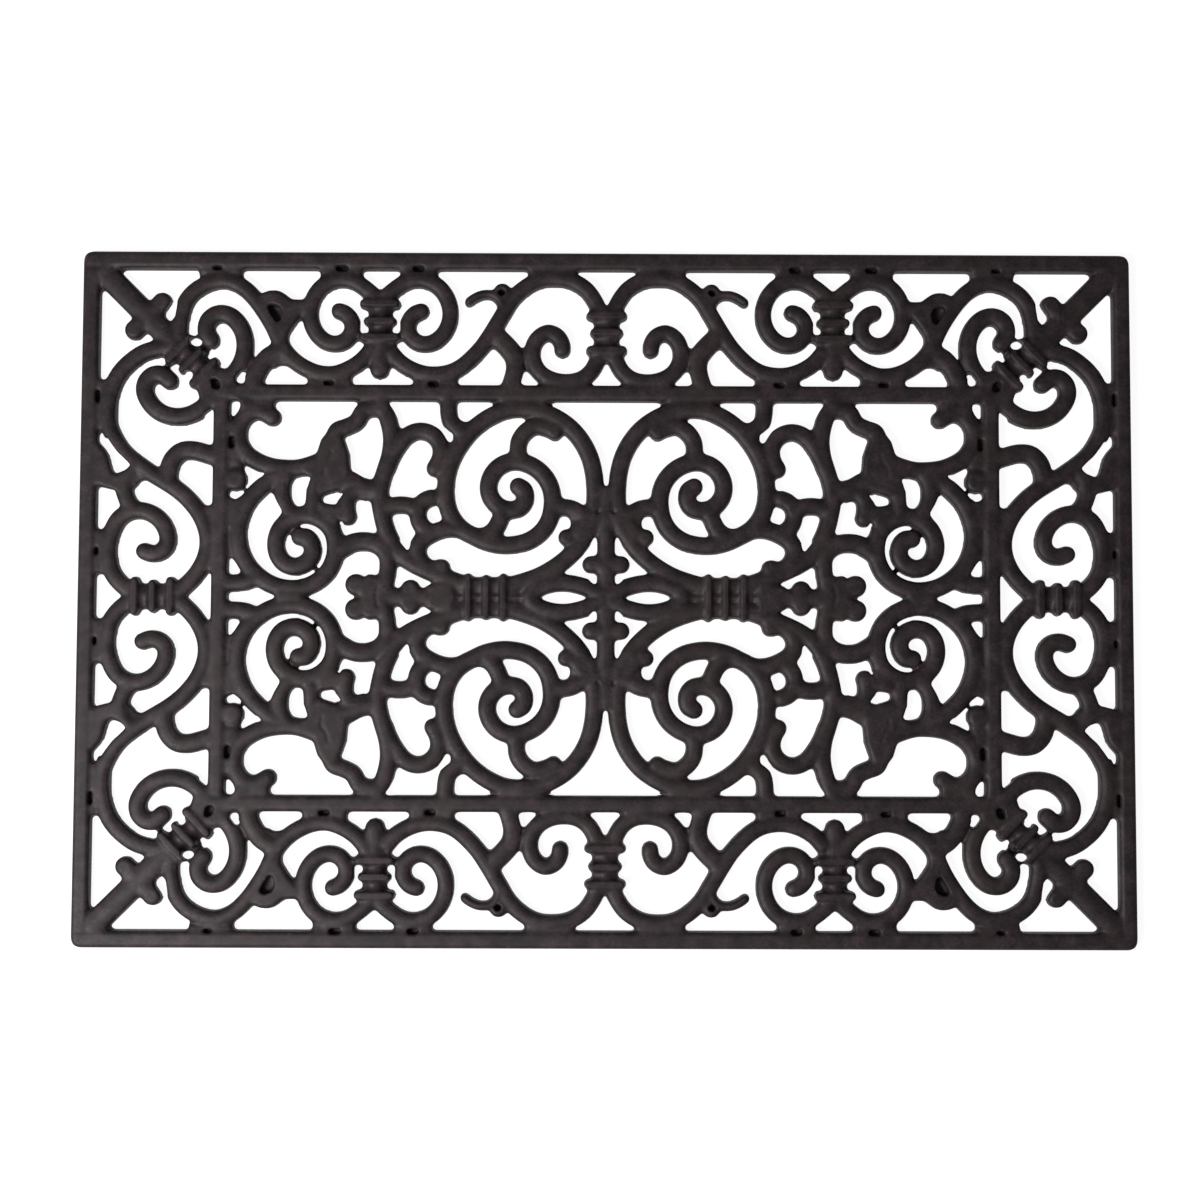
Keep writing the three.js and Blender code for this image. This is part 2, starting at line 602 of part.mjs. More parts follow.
// The stem that runs from the sleeve to the inner frame, with its hump
const STEM_SHARES = [
  [80, 7], [92, 11.4], [104, 16.2], [113, 21], [119.3, 26.5], [123.5, 34], [126.3, 41], [128, 48],
  [129.3, 56], [128.7, 64], [126.5, 72], [123.8, 81], [122.8, 90], [123.8, 98], [126.3, 106],
  [130, 115],
];
const HUMP_SHARES = [[122, 26], [129, 29.5], [136, 31.7], [144, 31], [153, 26]];
const stem = [bar(STEM_SHARES, FIELD_BAR_WIDTH), bar(HUMP_SHARES, LEAF_BAR_WIDTH)];

// The two loops between the stem and the wheel
const UPPER_LOOP_SHARES = [
  [125.5, 73], [122.5, 80.5], [118, 88], [113, 93.3], [107.5, 95.4], [101.8, 94.6], [97, 91], [94.6, 85.5],
  [95.3, 79], [98, 74],
];
const LOWER_LOOP_SHARES = [[99, 36], [105, 40.5], [107.3, 45.5], [107, 51], [103.8, 55.3], [100, 57]];
const LOOP_BRIDGE_SHARES = [[104, 49], [111, 52], [117.5, 52.9], [124, 51.7], [129, 49]];
const loops = [
  bar(UPPER_LOOP_SHARES, SIDE_BAR_WIDTH, true),
  bar(LOWER_LOOP_SHARES, SIDE_BAR_WIDTH, true),
  bar(LOOP_BRIDGE_SHARES, SIDE_BAR_WIDTH),
];

// The leaf that grows from the stem
const LEAF_TOP_SHARES = [
  [127, 109], [134, 108.3], [139, 107], [143, 100.5], [148.5, 97.7], [154, 95.5], [156.5, 89], [158, 82],
  [161, 76],
];
const LEAF_BASE_SHARES = [[127, 60.5], [137, 62.5], [145, 65], [152, 68]];
const LEAF_HOOK_SHARES = [[135, 62], [143, 61.5], [147.5, 57], [148.3, 51], [147.3, 46]];
const LEAF_BODY_SHARES = [
  [146, 71], [146, 65], [151, 61.5], [162, 58], [169, 60], [169, 68], [176, 72], [166, 80], [163, 90],
  [156, 99], [150, 94], [146.5, 82],
];
const HOOK_WEB_SHARES = [[148, 52], [150, 42], [156, 40], [164, 46], [163, 54], [158, 53]];
const LEAF_STALK_SHARES = [[165.5, 74], [166.5, 62], [167, 54], [168.5, 46]];
const LEAF_LINK_SHARES = [[177, 45], [183, 51.5], [185, 58], [184.8, 65], [181, 73]];
const leaf = [
  bar(LEAF_TOP_SHARES, SIDE_BAR_WIDTH),
  bar(LEAF_BASE_SHARES, LEAF_BAR_WIDTH),
  bar(LEAF_HOOK_SHARES, FIELD_BAR_WIDTH, true),
  patch(LEAF_BODY_SHARES),
  patch(HOOK_WEB_SHARES),
  bar(LEAF_STALK_SHARES, BORDER_BAR_WIDTH),
  bar(LEAF_LINK_SHARES, FIELD_BAR_WIDTH),
];

// The scroll that frames the window in the field's corner
const WINDOW_SHARES = [
  [158, 80], [168, 75.5], [176, 73.3], [184, 73.2], [192, 74.3], [199, 77], [205.5, 81.5], [209.5, 88],
  [210.3, 95], [208, 101.5], [203, 105.8], [197, 106.3], [191, 103],
];
const WINDOW_LINK_SHARES = [[199, 106], [206, 110], [212, 116.5]];
const WINDOW_PAD_SHARES = [[190, 106, 202, 114], [208, 74, 217, 101]];
const WINDOW_WEB_SHARES = [[208, 100], [217, 100], [217, 114], [208, 114]];
const windowScroll = [
  bar(WINDOW_SHARES, FIELD_BAR_WIDTH, true),
  bar(WINDOW_LINK_SHARES, FIELD_BAR_WIDTH),
  ...WINDOW_PAD_SHARES.map(pad),
  web(WINDOW_WEB_SHARES),
];

// The pair of large scrolls at the end of the field
const OUTER_SCROLL_SHARES = [
  [183, 72], [190, 68], [197, 62.5], [203, 56], [207.5, 47.5], [209.7, 38], [208.7, 28], [204.5, 18.5],
  [198, 11.5], [190, 6.7], [181, 4.6], [172, 5.3], [164, 9], [158, 15], [154.6, 23], [154.3, 31],
  [156.3, 38], [161, 43.3], [167.5, 46.5], [174.5, 46.8], [181, 43.8], [186, 38.5], [188.2, 31],
  [187, 24], [183, 19], [177, 17.3], [170.8, 19.5], [167.4, 24.5], [167.8, 30], [171, 34],
  [174.5, 34.3],
];
const OUTER_SPUR_SHARES = [[197, 12], [205, 8.5], [211, 7.8], [218, 7.7]];
const OUTER_BRIDGE_SHARES = [172, -4, 188, 4];
const OUTER_PAD_SHARES = [208, 37, 217, 57];
const outerScrolls = [
  block(OUTER_BRIDGE_SHARES),
  ...bothEnds([
    bar(OUTER_SCROLL_SHARES, FIELD_BAR_WIDTH, true),
    bar(OUTER_SPUR_SHARES, SIDE_BAR_WIDTH),
    pad(OUTER_PAD_SHARES),
  ]),
];

// The bud at the end of the sleeve
const BUD_NECK_SHARES = [[86, 0], [136, 0]];
const BUD_ROOT_SHARES = [[86, -11], [102, -6.5], [102, 6.5], [86, 11]];
const BUD_BEAD_SHARES = [111.3, 4.5];
const BUD_LOBE_SHARES = [142.3, 7];
const BUD_SHOULDER_SHARES = [[124, -11], [135, -13], [140.5, -9], [140.5, 9], [135, 13], [124, 11]];
const BUD_ARM_SHARES = [[126.5, 4], [124.3, 16], [125, 24], [129, 29]];
const bud = [
  strip(...BUD_NECK_SHARES, NECK_WIDTH),
  patch(BUD_ROOT_SHARES),
  patch(BUD_SHOULDER_SHARES),
  ...bothEnds([
    disc(BUD_BEAD_SHARES, BEAD_RADIUS),
    disc(BUD_LOBE_SHARES, LOBE_RADIUS),
    bar(BUD_ARM_SHARES, SIDE_BAR_WIDTH),
  ]),
];

// The front half of the mat, for a piece that meets its own mirror image in the middle
const frontHalf = polygon([
  new THREE.Vector2(-HALF_LENGTH, -HALF_WIDTH),
  new THREE.Vector2(HALF_LENGTH, -HALF_WIDTH),
  new THREE.Vector2(HALF_LENGTH, -JOINT_GAP / 2),
  new THREE.Vector2(-HALF_LENGTH, -JOINT_GAP / 2),
]);

// A pocket lies along a rail, from one square to another
const HEART_POCKET_SHARES = [[148, 155], [105, 112]];
const SCROLL_POCKET_SHARES = [[220.4, 226.3]];

function backPockets(spans) {
  return spans.map(([from, to]) => {
    const y = WIDTH_FACE_SHARES[3];
    return strip([from, y], [to, y], POCKET_WIDTH);
  });
}

const RUBBER_COLOUR = "#3a3535";
const RUBBER_ROUGHNESS = 0.62;
const rubber = new THREE.MeshStandardMaterial({
  color: RUBBER_COLOUR,
  roughness: RUBBER_ROUGHNESS,
  metalness: 0,
});

function mirrored(geometry, signX, signY) {
  const copy = geometry.clone().applyMatrix4(new THREE.Matrix4().makeScale(signX, signY, 1));
  if (signX * signY < 0) {
    const index = copy.index.array;
    for (let i = 0; i < index.length; i += 3) [index[i + 1], index[i + 2]] = [index[i + 2], index[i + 1]];
  }
  return copy;
}

const mat = new THREE.Group();

function place(name, geometry, signX = 1, signY = 1) {
  const mesh = new THREE.Mesh(mirrored(geometry, signX, signY), rubber);
  mesh.name = name;
  mat.add(mesh);
}

function placeBackAndFront(name, geometry) {
  place(name + "_back", geometry);
  place(name + "_front", geometry, 1, -1);
}

function placeRightAndLeft(name, geometry) {
  place(name + "_right", geometry);
  place(name + "_left", geometry, -1, 1);
}

function placeInQuarters(name, geometry) {
  place(name + "_back_right", geometry);
  place(name + "_back_left", geometry, -1, 1);
  place(name + "_front_right", geometry, 1, -1);
  place(name + "_front_left", geometry, -1, -1);
}

placeBackAndFront("outer_rail", piece([{ shapes: [outerLongRail], clearOf: [] }]));
placeRightAndLeft("outer_rail", piece([{ shapes: [outerShortRail], clearOf: [] }]));
placeBackAndFront("inner_rail", piece([{ shapes: [innerLongRail], clearOf: [] }]));
placeRightAndLeft("inner_rail", piece([{ shapes: [innerShortRail, ...lobes], clearOf: [] }]));
placeBackAndFront("centre_collar", piece([{ shapes: centreCollar, clearOf: [] }]));
placeInQuarters("border_collar", piece([{ shapes: borderCollar, clearOf: [] }]));
placeRightAndLeft("side_collar", piece([{ shapes: sideCollar, clearOf: [] }]));
placeInQuarters("corner_collar", piece([{ shapes: cornerCollar, clearOf: innerRails }]));
placeInQuarters("corner_spear", piece([{ shapes: spear, clearOf: [...outerRails, ...cornerCollar] }]));
placeBackAndFront("centre_arch", piece(
  [{ shapes: arch, clearOf: [...outerRails, ...innerRails, ...centreCollar, ...bothSides(borderCollar)] }],
));
placeBackAndFront("centre_hooks", piece(
  [{ shapes: centreHooks, clearOf: [...innerRails, ...centreCollar, ...arch] }],
));
placeInQuarters("heart", piece(
  [{ shapes: heart, clearOf: [...outerRails, ...borderCollar] }],
  backPockets(HEART_POCKET_SHARES),
));
placeInQuarters("long_scroll", piece(
  [{
    shapes: longScroll,
    clearOf: [
      ...outerRails, ...innerRails, ...borderCollar, ...cornerCollar, ...spear, ...heart, ...cornerHooks,
    ],
  }],
  [...backPockets(SCROLL_POCKET_SHARES), disc(TULIP_DIMPLE_SHARES, DIMPLE_RADIUS)],
));
placeInQuarters("corner_hooks", piece(
  [{ shapes: cornerHooks, clearOf: [...innerRails, ...cornerCollar, ...spear] }],
));
placeInQuarters("side_scroll", piece(
  [{
    shapes: sideScroll,
    clearOf: [...outerRails, ...innerRails, ...sideCollar, ...cornerCollar, ...spear, frontHalf],
  }],
));
placeRightAndLeft("sleeve", piece([
  { shapes: sleeve, clearOf: [] },
  { shapes: bud, clearOf: [...bothEnds(stem), ...outerScrolls] },
]));
place("cross", piece([{ shapes: cross, clearOf: bothSides(sleeve) }]));
placeInQuarters("wheel", piece(
  [{ shapes: wheel, clearOf: [...innerRails, ...cross, ...stem] }],
));
placeInQuarters("leaf_stem", piece([
  { shapes: stem, clearOf: [...innerRails, ...sleeve, ...outerScrolls] },
  { shapes: loops, clearOf: wheel },
  { shapes: leaf, clearOf: [...innerRails, ...outerScrolls] },
  { shapes: windowScroll, clearOf: innerRails },
]));
placeRightAndLeft("outer_scrolls", piece(
  [{ shapes: outerScrolls, clearOf: [...innerRails, ...bothEnds(windowScroll)] }],
));

export default mat;
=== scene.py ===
import logging
import math
from collections.abc import Iterable, Sequence
from dataclasses import dataclass, field, replace
from enum import Enum, IntEnum

import bmesh
import bpy
from mathutils import Euler, Matrix, Vector


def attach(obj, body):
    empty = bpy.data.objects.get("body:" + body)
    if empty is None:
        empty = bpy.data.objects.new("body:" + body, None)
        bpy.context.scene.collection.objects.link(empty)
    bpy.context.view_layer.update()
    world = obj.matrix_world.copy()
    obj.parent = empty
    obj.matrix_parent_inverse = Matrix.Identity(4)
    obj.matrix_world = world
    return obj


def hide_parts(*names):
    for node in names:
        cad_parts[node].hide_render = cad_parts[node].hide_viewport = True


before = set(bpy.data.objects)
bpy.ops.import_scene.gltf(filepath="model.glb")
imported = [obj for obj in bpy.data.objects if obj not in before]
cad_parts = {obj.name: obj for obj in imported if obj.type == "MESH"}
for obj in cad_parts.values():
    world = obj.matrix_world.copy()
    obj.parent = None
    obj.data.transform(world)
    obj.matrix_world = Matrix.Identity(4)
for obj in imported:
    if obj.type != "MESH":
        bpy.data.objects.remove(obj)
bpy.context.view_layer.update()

log = logging.getLogger("rubber_mat")

MM = 0.001
Squares = tuple[float, float]
Table = tuple[Squares, ...]
Flip = tuple[int, int]
Box = tuple[float, float, float, float]
Noise = tuple[float, float, float]
Range = tuple[float, float, float, float]
RANGE_SOCKETS = ("From Min", "From Max", "To Min", "To Max")
# The sockets of a colour mix go by number, because a mix has several of each name.
MIX_SHARE, MIX_FIRST, MIX_SECOND, MIX_RESULT = 0, 6, 7, 2


# Sizes of the mat and of its mould

class Face(IntEnum):
    """The faces of the rails, counted from the middle line, which is number 0."""

    INNER_RAIL_INSIDE = 1
    INNER_RAIL_OUTSIDE = 2
    OUTER_RAIL_INSIDE = 3
    EDGE = 4


@dataclass(frozen=True)
class Paper:
    """The mat's sizes in metres, and the squared paper that its pattern is drawn on."""

    length: float = 600 * MM
    width: float = 396 * MM
    corner_radius: float = 5 * MM
    outer_rail: float = 9.5 * MM
    inner_rail: float = 9 * MM
    side_strip: float = 66 * MM
    back_strip: float = 67 * MM
    length_squares: tuple[float, ...] = (0, 215.5, 224.7, 290.5, 300)
    width_squares: tuple[float, ...] = (0, 112.8, 121.5, 188.5, 198)

    @property
    def length_faces(self) -> tuple[float, ...]:
        """Where the rail faces stand along X, in the order of Face."""
        return self.faces(self.length, self.side_strip)

    @property
    def width_faces(self) -> tuple[float, ...]:
        """Where the rail faces stand along Y, in the order of Face."""
        return self.faces(self.width, self.back_strip)

    def faces(self, size: float, strip: float) -> tuple[float, ...]:
        """Where the rail faces stand along one axis.

        Args:
            size: the mat's size along it.
            strip: the width of the border strip between its two rails.

        Returns:
            Distances from the middle, in metres.
        """
        opening = size / 2 - self.outer_rail
        rail = opening - strip
        return (0, rail - self.inner_rail, rail, opening, size / 2)

    def place(self, point: Squares) -> Vector:
        """Where a point of the pattern lies on the mat.

        Args:
            point: counts of squares along X and Y.

        Returns:
            The point in metres, at floor level.
        """
        x = between_faces(point[0], self.length_squares, self.length_faces)
        y = between_faces(point[1], self.width_squares, self.width_faces)
        return Vector((x, y, 0))


def between_faces(count: float, squares: Sequence[float], faces: Sequence[float]) -> float:
    """Turns a count of squares into metres.

    Args:
        count: squares from the middle, negative on the other side of it.
        squares: the squares on which the rail faces fall.
        faces: where those faces stand, in metres.

    Returns:
        The distance from the middle, in metres.
    """
    i = 1
    while i < len(faces) - 1 and abs(count) > squares[i]:
        i += 1
    share = (abs(count) - squares[i - 1]) / (squares[i] - squares[i - 1])
    return math.copysign(faces[i - 1] + share * (faces[i] - faces[i - 1]), count)


PAPER = Paper()


@dataclass(frozen=True)
class Mould:
    """How finely the rubber is moulded, and how soft its edges are."""

    thickness: float = 9 * MM
    bar_height: float = 8.2 * MM
    grain: float = 0.9 * MM
    quick_grain: float = 1.5 * MM
    softening: int = 4
    softening_factor: float = 0.5
    bar_rounding: float = 0.42
    crest_height: float = 7.6 * MM
    fillet_height: float = 6.6 * MM
    web_height: float = 2.4 * MM
    # Walls lean out towards the floor: up to each height, the outline is that much wider.
    draft: tuple[tuple[float, float], ...] = (
        (2 * MM, 0.45 * MM), (3.6 * MM, 0.3 * MM), (5.2 * MM, 0.15 * MM),
    )
    # A rounded top: up to each share of its rise, the outline is drawn in by that share of its slope.
    top_steps: tuple[tuple[float, float], ...] = (
        (0, 0), (0.3, 0.04), (0.55, 0.15), (0.75, 0.31), (0.9, 0.55), (1, 0.85),
    )
    # How far the body and the rails run past the middle lines, and a short rail into a long one.
    overlap: float = 8 * MM
    rail_overlap: float = 16 * MM
    bite: float = 1 * MM
    # The room that a piece claims reaches from below the mat to above it.
    share_grain: float = 1.2 * MM
    share_low: float = -3 * MM
    share_high: float = 13 * MM
    # How near a middle line points are laid on it, and how near each other points are joined.
    seam: float = 0.004 * MM
    seam_weld: float = 0.001 * MM
    weld: float = 0.002 * MM
    crease_degrees: float = 50


MOULD = Mould()


class Width(Enum):
    """The widths of the bars, in metres."""

    BORDER = 9.0 * MM
    SIDE = 9.4 * MM
    FIELD = 9.7 * MM
    LEAF = 10.4 * MM
    BRACKET = 11.2 * MM
    TENDRIL = 5.0 * MM


class Copies(Enum):
    """Which copies of a piece the mat has, as the flips that make them, by name."""

    ONE = (("", (1, 1)),)
    BACK_AND_FRONT = (("_back", (1, 1)), ("_front", (1, -1)))
    RIGHT_AND_LEFT = (("_right", (1, 1)), ("_left", (-1, 1)))
    QUARTERS = (
        ("_back_right", (1, 1)),
        ("_back_left", (-1, 1)),
        ("_front_right", (1, -1)),
        ("_front_left", (-1, -1)),
    )


# Shapes of the pattern

@dataclass(frozen=True, kw_only=True)
class Shape:
    """An upright form of the pattern: an outline, that can be drawn wider, from a floor to a height."""

    height: float = MOULD.bar_height
    floor: float = 0.0
    shoulder: float = 2.6 * MM
    crown: float = 1.7 * MM
    flip: Flip = (1, 1)

    def lay(self, bm: bmesh.types.BMesh, grow: float) -> None:
        """Draws the outline as flat faces on the floor.

        Args:
            bm: the empty mesh to draw in.
            grow: how far the outline is widened, in metres.
        """
        raise NotImplementedError

    def raised(
        self, grow: float = 0, low: float | None = None, high: float | None = None,
    ) -> bmesh.types.BMesh:
        """Extrudes the outline into a closed solid.

        Args:
            grow: how far the outline is widened, in metres.
            low: height of its underside, or None for its own.
            high: height of its top, or None for its own.

        Returns:
            A new bmesh, for the caller to free.
        """
        bottom = self.floor if low is None else low
        top = self.height if high is None else high
        bm = bmesh.new()
        self.lay(bm, grow)
        bmesh.ops.scale(bm, vec=(*self.flip, 1), verts=bm.verts)
        bmesh.ops.translate(bm, vec=(0, 0, bottom), verts=bm.verts)
        made = bmesh.ops.extrude_face_region(bm, geom=bm.faces[:])["geom"]
        lifted = [v for v in made if isinstance(v, bmesh.types.BMVert)]
        bmesh.ops.translate(bm, vec=(0, 0, top - bottom), verts=lifted)
        bmesh.ops.recalc_face_normals(bm, faces=bm.faces)
        return bm

    def layers(self) -> list[tuple[float, float]]:
        """The outlines that stack up into drafted walls and a rounded top.

        Returns:
            Pairs of how far each is widened and how high it reaches.
        """
        if not self.crown:
            return [(0, self.height)]
        walls = [(spread, top) for top, spread in MOULD.draft if top < self.height - self.crown]
        crown = [
            (-inset * self.slope_width(), self.height - self.crown * (1 - rise))
            for rise, inset in MOULD.top_steps
        ]
        return walls + crown

    def slope_width(self) -> float:
        """How far its rounded top slopes down to each side."""
        return self.shoulder

    def reaches(self, low: float) -> bool:
        """Tells whether some of the shape lies in the quarter, or close to it.

        Args:
            low: how far along X and Y that begins, in metres.

        Returns:
            Whether the shape reaches beyond it along both.
        """
        bm = bmesh.new()
        self.lay(bm, 0)
        far_x = max(v.co.x * self.flip[0] for v in bm.verts)
        far_y = max(v.co.y * self.flip[1] for v in bm.verts)
        bm.free()
        return far_x > low and far_y > low

    def flipped(self, flip: Flip) -> "Shape":
        """The same shape mirrored, where a flip of -1 turns that axis round."""
        return replace(self, flip=(self.flip[0] * flip[0], self.flip[1] * flip[1]))


@dataclass(frozen=True)
class Bar(Shape):
    """A bar of even width along a smooth line of squares, with a round end if asked."""

    points: Table
    width: float
    round_end: bool = False
    round_start: bool = False
    samples: int = 7
    cap_degrees: tuple[float, ...] = (20, 40, 58, 73, 84)
    crown: float = field(default=2.6 * MM, kw_only=True)

    def slope_width(self) -> float:
        """How far its rounded top slopes down to each side."""
        return self.width * MOULD.bar_rounding

    def stations(self) -> list[tuple[Vector, Vector]]:
        """Places and directions along the line.

        Returns:
            Pairs of a point and a unit vector, from the first point to the last.
        """
        return smooth_line([PAPER.place(p) for p in self.points], self.samples)

    def lay(self, bm: bmesh.types.BMesh, grow: float) -> None:
        """Draws the bar as a strip of faces, by extruding the edge across it.

        Args:
            bm: the empty mesh to draw in.
            grow: how far the outline is widened, in metres.
        """
        half = self.width / 2 + grow
        rungs = [(place, way, half) for place, way in self.stations()]
        place, way, _ = rungs[0]
        place_end, way_end, _ = rungs[-1]
        for degrees in self.cap_degrees:
            angle = math.radians(degrees)
            past, reach = half * math.sin(angle), half * math.cos(angle)
            if self.round_start:
                rungs.insert(0, (place - way * past, way, reach))
            if self.round_end:
                rungs.append((place_end + way_end * past, way_end, reach))
        place, way, reach = rungs[0]
        across = Vector((way.y, -way.x, 0))
        ends = [bm.verts.new(place + across * reach), bm.verts.new(place - across * reach)]
        edge = bm.edges.new(ends)
        for place, way, reach in rungs[1:]:
            across = Vector((way.y, -way.x, 0))
            right = edge.verts[0] if edge.verts[0] in ends[:1] else edge.verts[1]
            made = bmesh.ops.extrude_edge_only(bm, edges=[edge])["geom"]
            fresh = [v for v in made if isinstance(v, bmesh.types.BMVert)]
            fresh.sort(key=lambda v: (v.co - right.co).length)
            fresh[0].co = place + across * reach
            fresh[1].co = place - across * reach
            ends = fresh
            edge = bm.edges.get(fresh)


@dataclass(frozen=True)
class Disc(Shape):
    """A round boss."""

    centre: Squares
    radius: float
    sides: int = 28

    def lay(self, bm: bmesh.types.BMesh, grow: float) -> None:
        """Draws the disc as one face.

        Args:
            bm: the empty mesh to draw in.
            grow: how far the outline is widened, in metres.
        """
        bmesh.ops.create_circle(
            bm, cap_ends=True, segments=self.sides, radius=self.radius + grow,
            matrix=Matrix.Translation(PAPER.place(self.centre)),
        )


@dataclass(frozen=True)
class Plate(Shape):
    """A plate with straight sides between corners given in metres, anticlockwise."""

    corners: tuple[tuple[float, float], ...]

    def spots(self) -> list[Vector]:
        """The corners as vectors."""
        return [Vector((x, y, 0)) for x, y in self.corners]

    def lay(self, bm: bmesh.types.BMesh, grow: float) -> None:
        """Draws the plate as one face.

        Args:
            bm: the empty mesh to draw in.
            grow: how far the outline is widened, in metres.
        """
        spots = self.spots()
        placed = []
        for i, spot in enumerate(spots):
            a = (spot - spots[i - 1]).normalized()
            b = (spots[(i + 1) % len(spots)] - spot).normalized()
            out = Vector((a.y + b.y, -a.x - b.x, 0))
            placed.append(spot + out * (grow / (1 + a.dot(b))))
        bm.faces.new([bm.verts.new(p) for p in placed])


@dataclass(frozen=True)
class Patch(Plate):
    """A plate whose corners are counts of squares."""

    def spots(self) -> list[Vector]:
        """The corners as vectors."""
        return [PAPER.place(corner) for corner in self.corners]


def block(low_x: float, low_y: float, high_x: float, high_y: float, **kind: float) -> Patch:
    """A rectangular patch between two opposite corners in squares."""
    return Patch(((low_x, low_y), (high_x, low_y), (high_x, high_y), (low_x, high_y)), **kind)


def smooth_line(points: Sequence[Vector], samples: int) -> list[tuple[Vector, Vector]]:
    """Runs a centripetal Catmull-Rom line through points.

    Args:
        points: the points, at least two.
        samples: how many stations each stretch between two points gets.

    Returns:
        Pairs of a place and a unit direction.
    """
    padded = [2 * points[0] - points[1], *points, 2 * points[-1] - points[-2]]
    found = []
    for i in range(len(points) - 1):
        p0, p1, p2, p3 = padded[i:i + 4]
        d0, d1, d2 = ((b - a).length ** 0.5 for a, b in ((p0, p1), (p1, p2), (p2, p3)))
        t1 = ((p1 - p0) / d0 - (p2 - p0) / (d0 + d1) + (p2 - p1) / d1) * d1
        t2 = ((p2 - p1) / d1 - (p3 - p1) / (d1 + d2) + (p3 - p2) / d2) * d1
        last = i == len(points) - 2
        for step in range(samples + 1 if last else samples):
            t = step / samples
            place = (
                p1 * (2 * t ** 3 - 3 * t ** 2 + 1) + t1 * (t ** 3 - 2 * t ** 2 + t)
                + p2 * (3 * t ** 2 - 2 * t ** 3) + t2 * (t ** 3 - t ** 2)
            )
            way = (
                (p1 - p2) * (6 * t ** 2 - 6 * t)
                + t1 * (3 * t ** 2 - 4 * t + 1) + t2 * (3 * t ** 2 - 2 * t)
            )
            found.append((place, way.normalized()))
    return found


def both_sides(shapes: Iterable[Shape]) -> list[Shape]:
    """The shapes and their mirror images across X = 0."""
    kept = list(shapes)
    return kept + [shape.flipped((-1, 1)) for shape in kept]


def both_ends(shapes: Iterable[Shape]) -> list[Shape]:
    """The shapes and their mirror images across Y = 0."""
    kept = list(shapes)
    return kept + [shape.flipped((1, -1)) for shape in kept]


# The pieces of the mat

@dataclass(frozen=True, kw_only=True)
class Piece:
    """A piece of the mat: its shapes, the margin round them that it claims, and its copies.

    Crests are lower blocks that join a bar to the rail that it touches. Fillets fill the corners where
    bars run into each other. Webs are low skins between bars, which show as dark hollows. A piece that
    stops short claims nothing beyond the middle line across X, or across Y.
    """

    name: str
    copies: Copies = Copies.QUARTERS
    claim: float = 1.6 * MM
    stops_short: tuple[bool, bool] = (False, False)
    crests: tuple[Box, ...] = ()
    fillets: tuple[Table, ...] = ()
    webs: tuple[Table, ...] = ()

    def shapes(self) -> list[Shape]:
        """The shapes that are joined into the piece, in the back right quarter."""
        raise NotImplementedError

    def joins(self) -> list[Shape]:
        """The crests, fillets and webs."""
        return [
            *(block(*crest, height=MOULD.crest_height) for crest in self.crests),
            *(Patch(fillet, height=MOULD.fillet_height, crown=0) for fillet in self.fillets),
            *(Patch(web, height=MOULD.web_height, crown=0) for web in self.webs),
        ]


@dataclass(frozen=True, kw_only=True)
class Rail(Piece):
    """A straight rail of the outer or the inner frame."""

    claim: float = 0.7 * MM

    def along_x(self, inside: Face, outside: Face, end: Face) -> Plate:
        """A long rail, from past the middle.

        Args:
            inside: the face towards the middle of the mat.
            outside: the face towards its edge.
            end: the face across the rail at which it stops.

        Returns:
            The rail's plate.
        """
        low, high = PAPER.width_faces[inside], PAPER.width_faces[outside]
        start, stop = -MOULD.rail_overlap, PAPER.length_faces[end]
        return Plate(((start, low), (stop, low), (stop, high), (start, high)))

    def along_y(self, inside: Face, outside: Face, end: Face) -> Plate:
        """A short rail, from past the middle.

        Args:
            inside: the face towards the middle of the mat.
            outside: the face towards its edge.
            end: the face of the long rail that it bites into.

        Returns:
            The rail's plate.
        """
        low, high = PAPER.length_faces[inside], PAPER.length_faces[outside]
        start, stop = -MOULD.rail_overlap, PAPER.width_faces[end] + MOULD.bite
        return Plate(((low, start), (high, start), (high, stop), (low, stop)))


@dataclass(frozen=True, kw_only=True)
class OuterLongRail(Rail):
    """The long rail at the back edge, with a rounded corner."""

    name: str = "outer_rail"
    copies: Copies = Copies.BACK_AND_FRONT
    corner_steps: int = 6

    def shapes(self) -> list[Shape]:
        """The rail, from just past the middle to the corner.

        Returns:
            The one plate.
        """
        straight = self.along_x(Face.OUTER_RAIL_INSIDE, Face.EDGE, Face.EDGE)
        radius = PAPER.corner_radius
        middle_x, middle_y = PAPER.length / 2 - radius, PAPER.width / 2 - radius
        turns = (math.pi / 2 * i / self.corner_steps for i in range(self.corner_steps + 1))
        corner = (
            (middle_x + radius * math.cos(turn), middle_y + radius * math.sin(turn)) for turn in turns
        )
        return [replace(straight, corners=(*straight.corners[:2], *corner, straight.corners[-1]))]


@dataclass(frozen=True, kw_only=True)
class OuterShortRail(Rail):
    """The short rail at the right edge."""

    name: str = "outer_rail"
    copies: Copies = Copies.RIGHT_AND_LEFT

    def shapes(self) -> list[Shape]:
        """The rail, from just past the middle to the long rail."""
        return [self.along_y(Face.OUTER_RAIL_INSIDE, Face.EDGE, Face.OUTER_RAIL_INSIDE)]


@dataclass(frozen=True, kw_only=True)
class InnerLongRail(Rail):
    """The long rail of the inner frame."""

    name: str = "inner_rail"
    copies: Copies = Copies.BACK_AND_FRONT

    def shapes(self) -> list[Shape]:
        """The rail, from just past the middle to the corner of the inner frame."""
        return [self.along_x(Face.INNER_RAIL_INSIDE, Face.INNER_RAIL_OUTSIDE, Face.INNER_RAIL_OUTSIDE)]


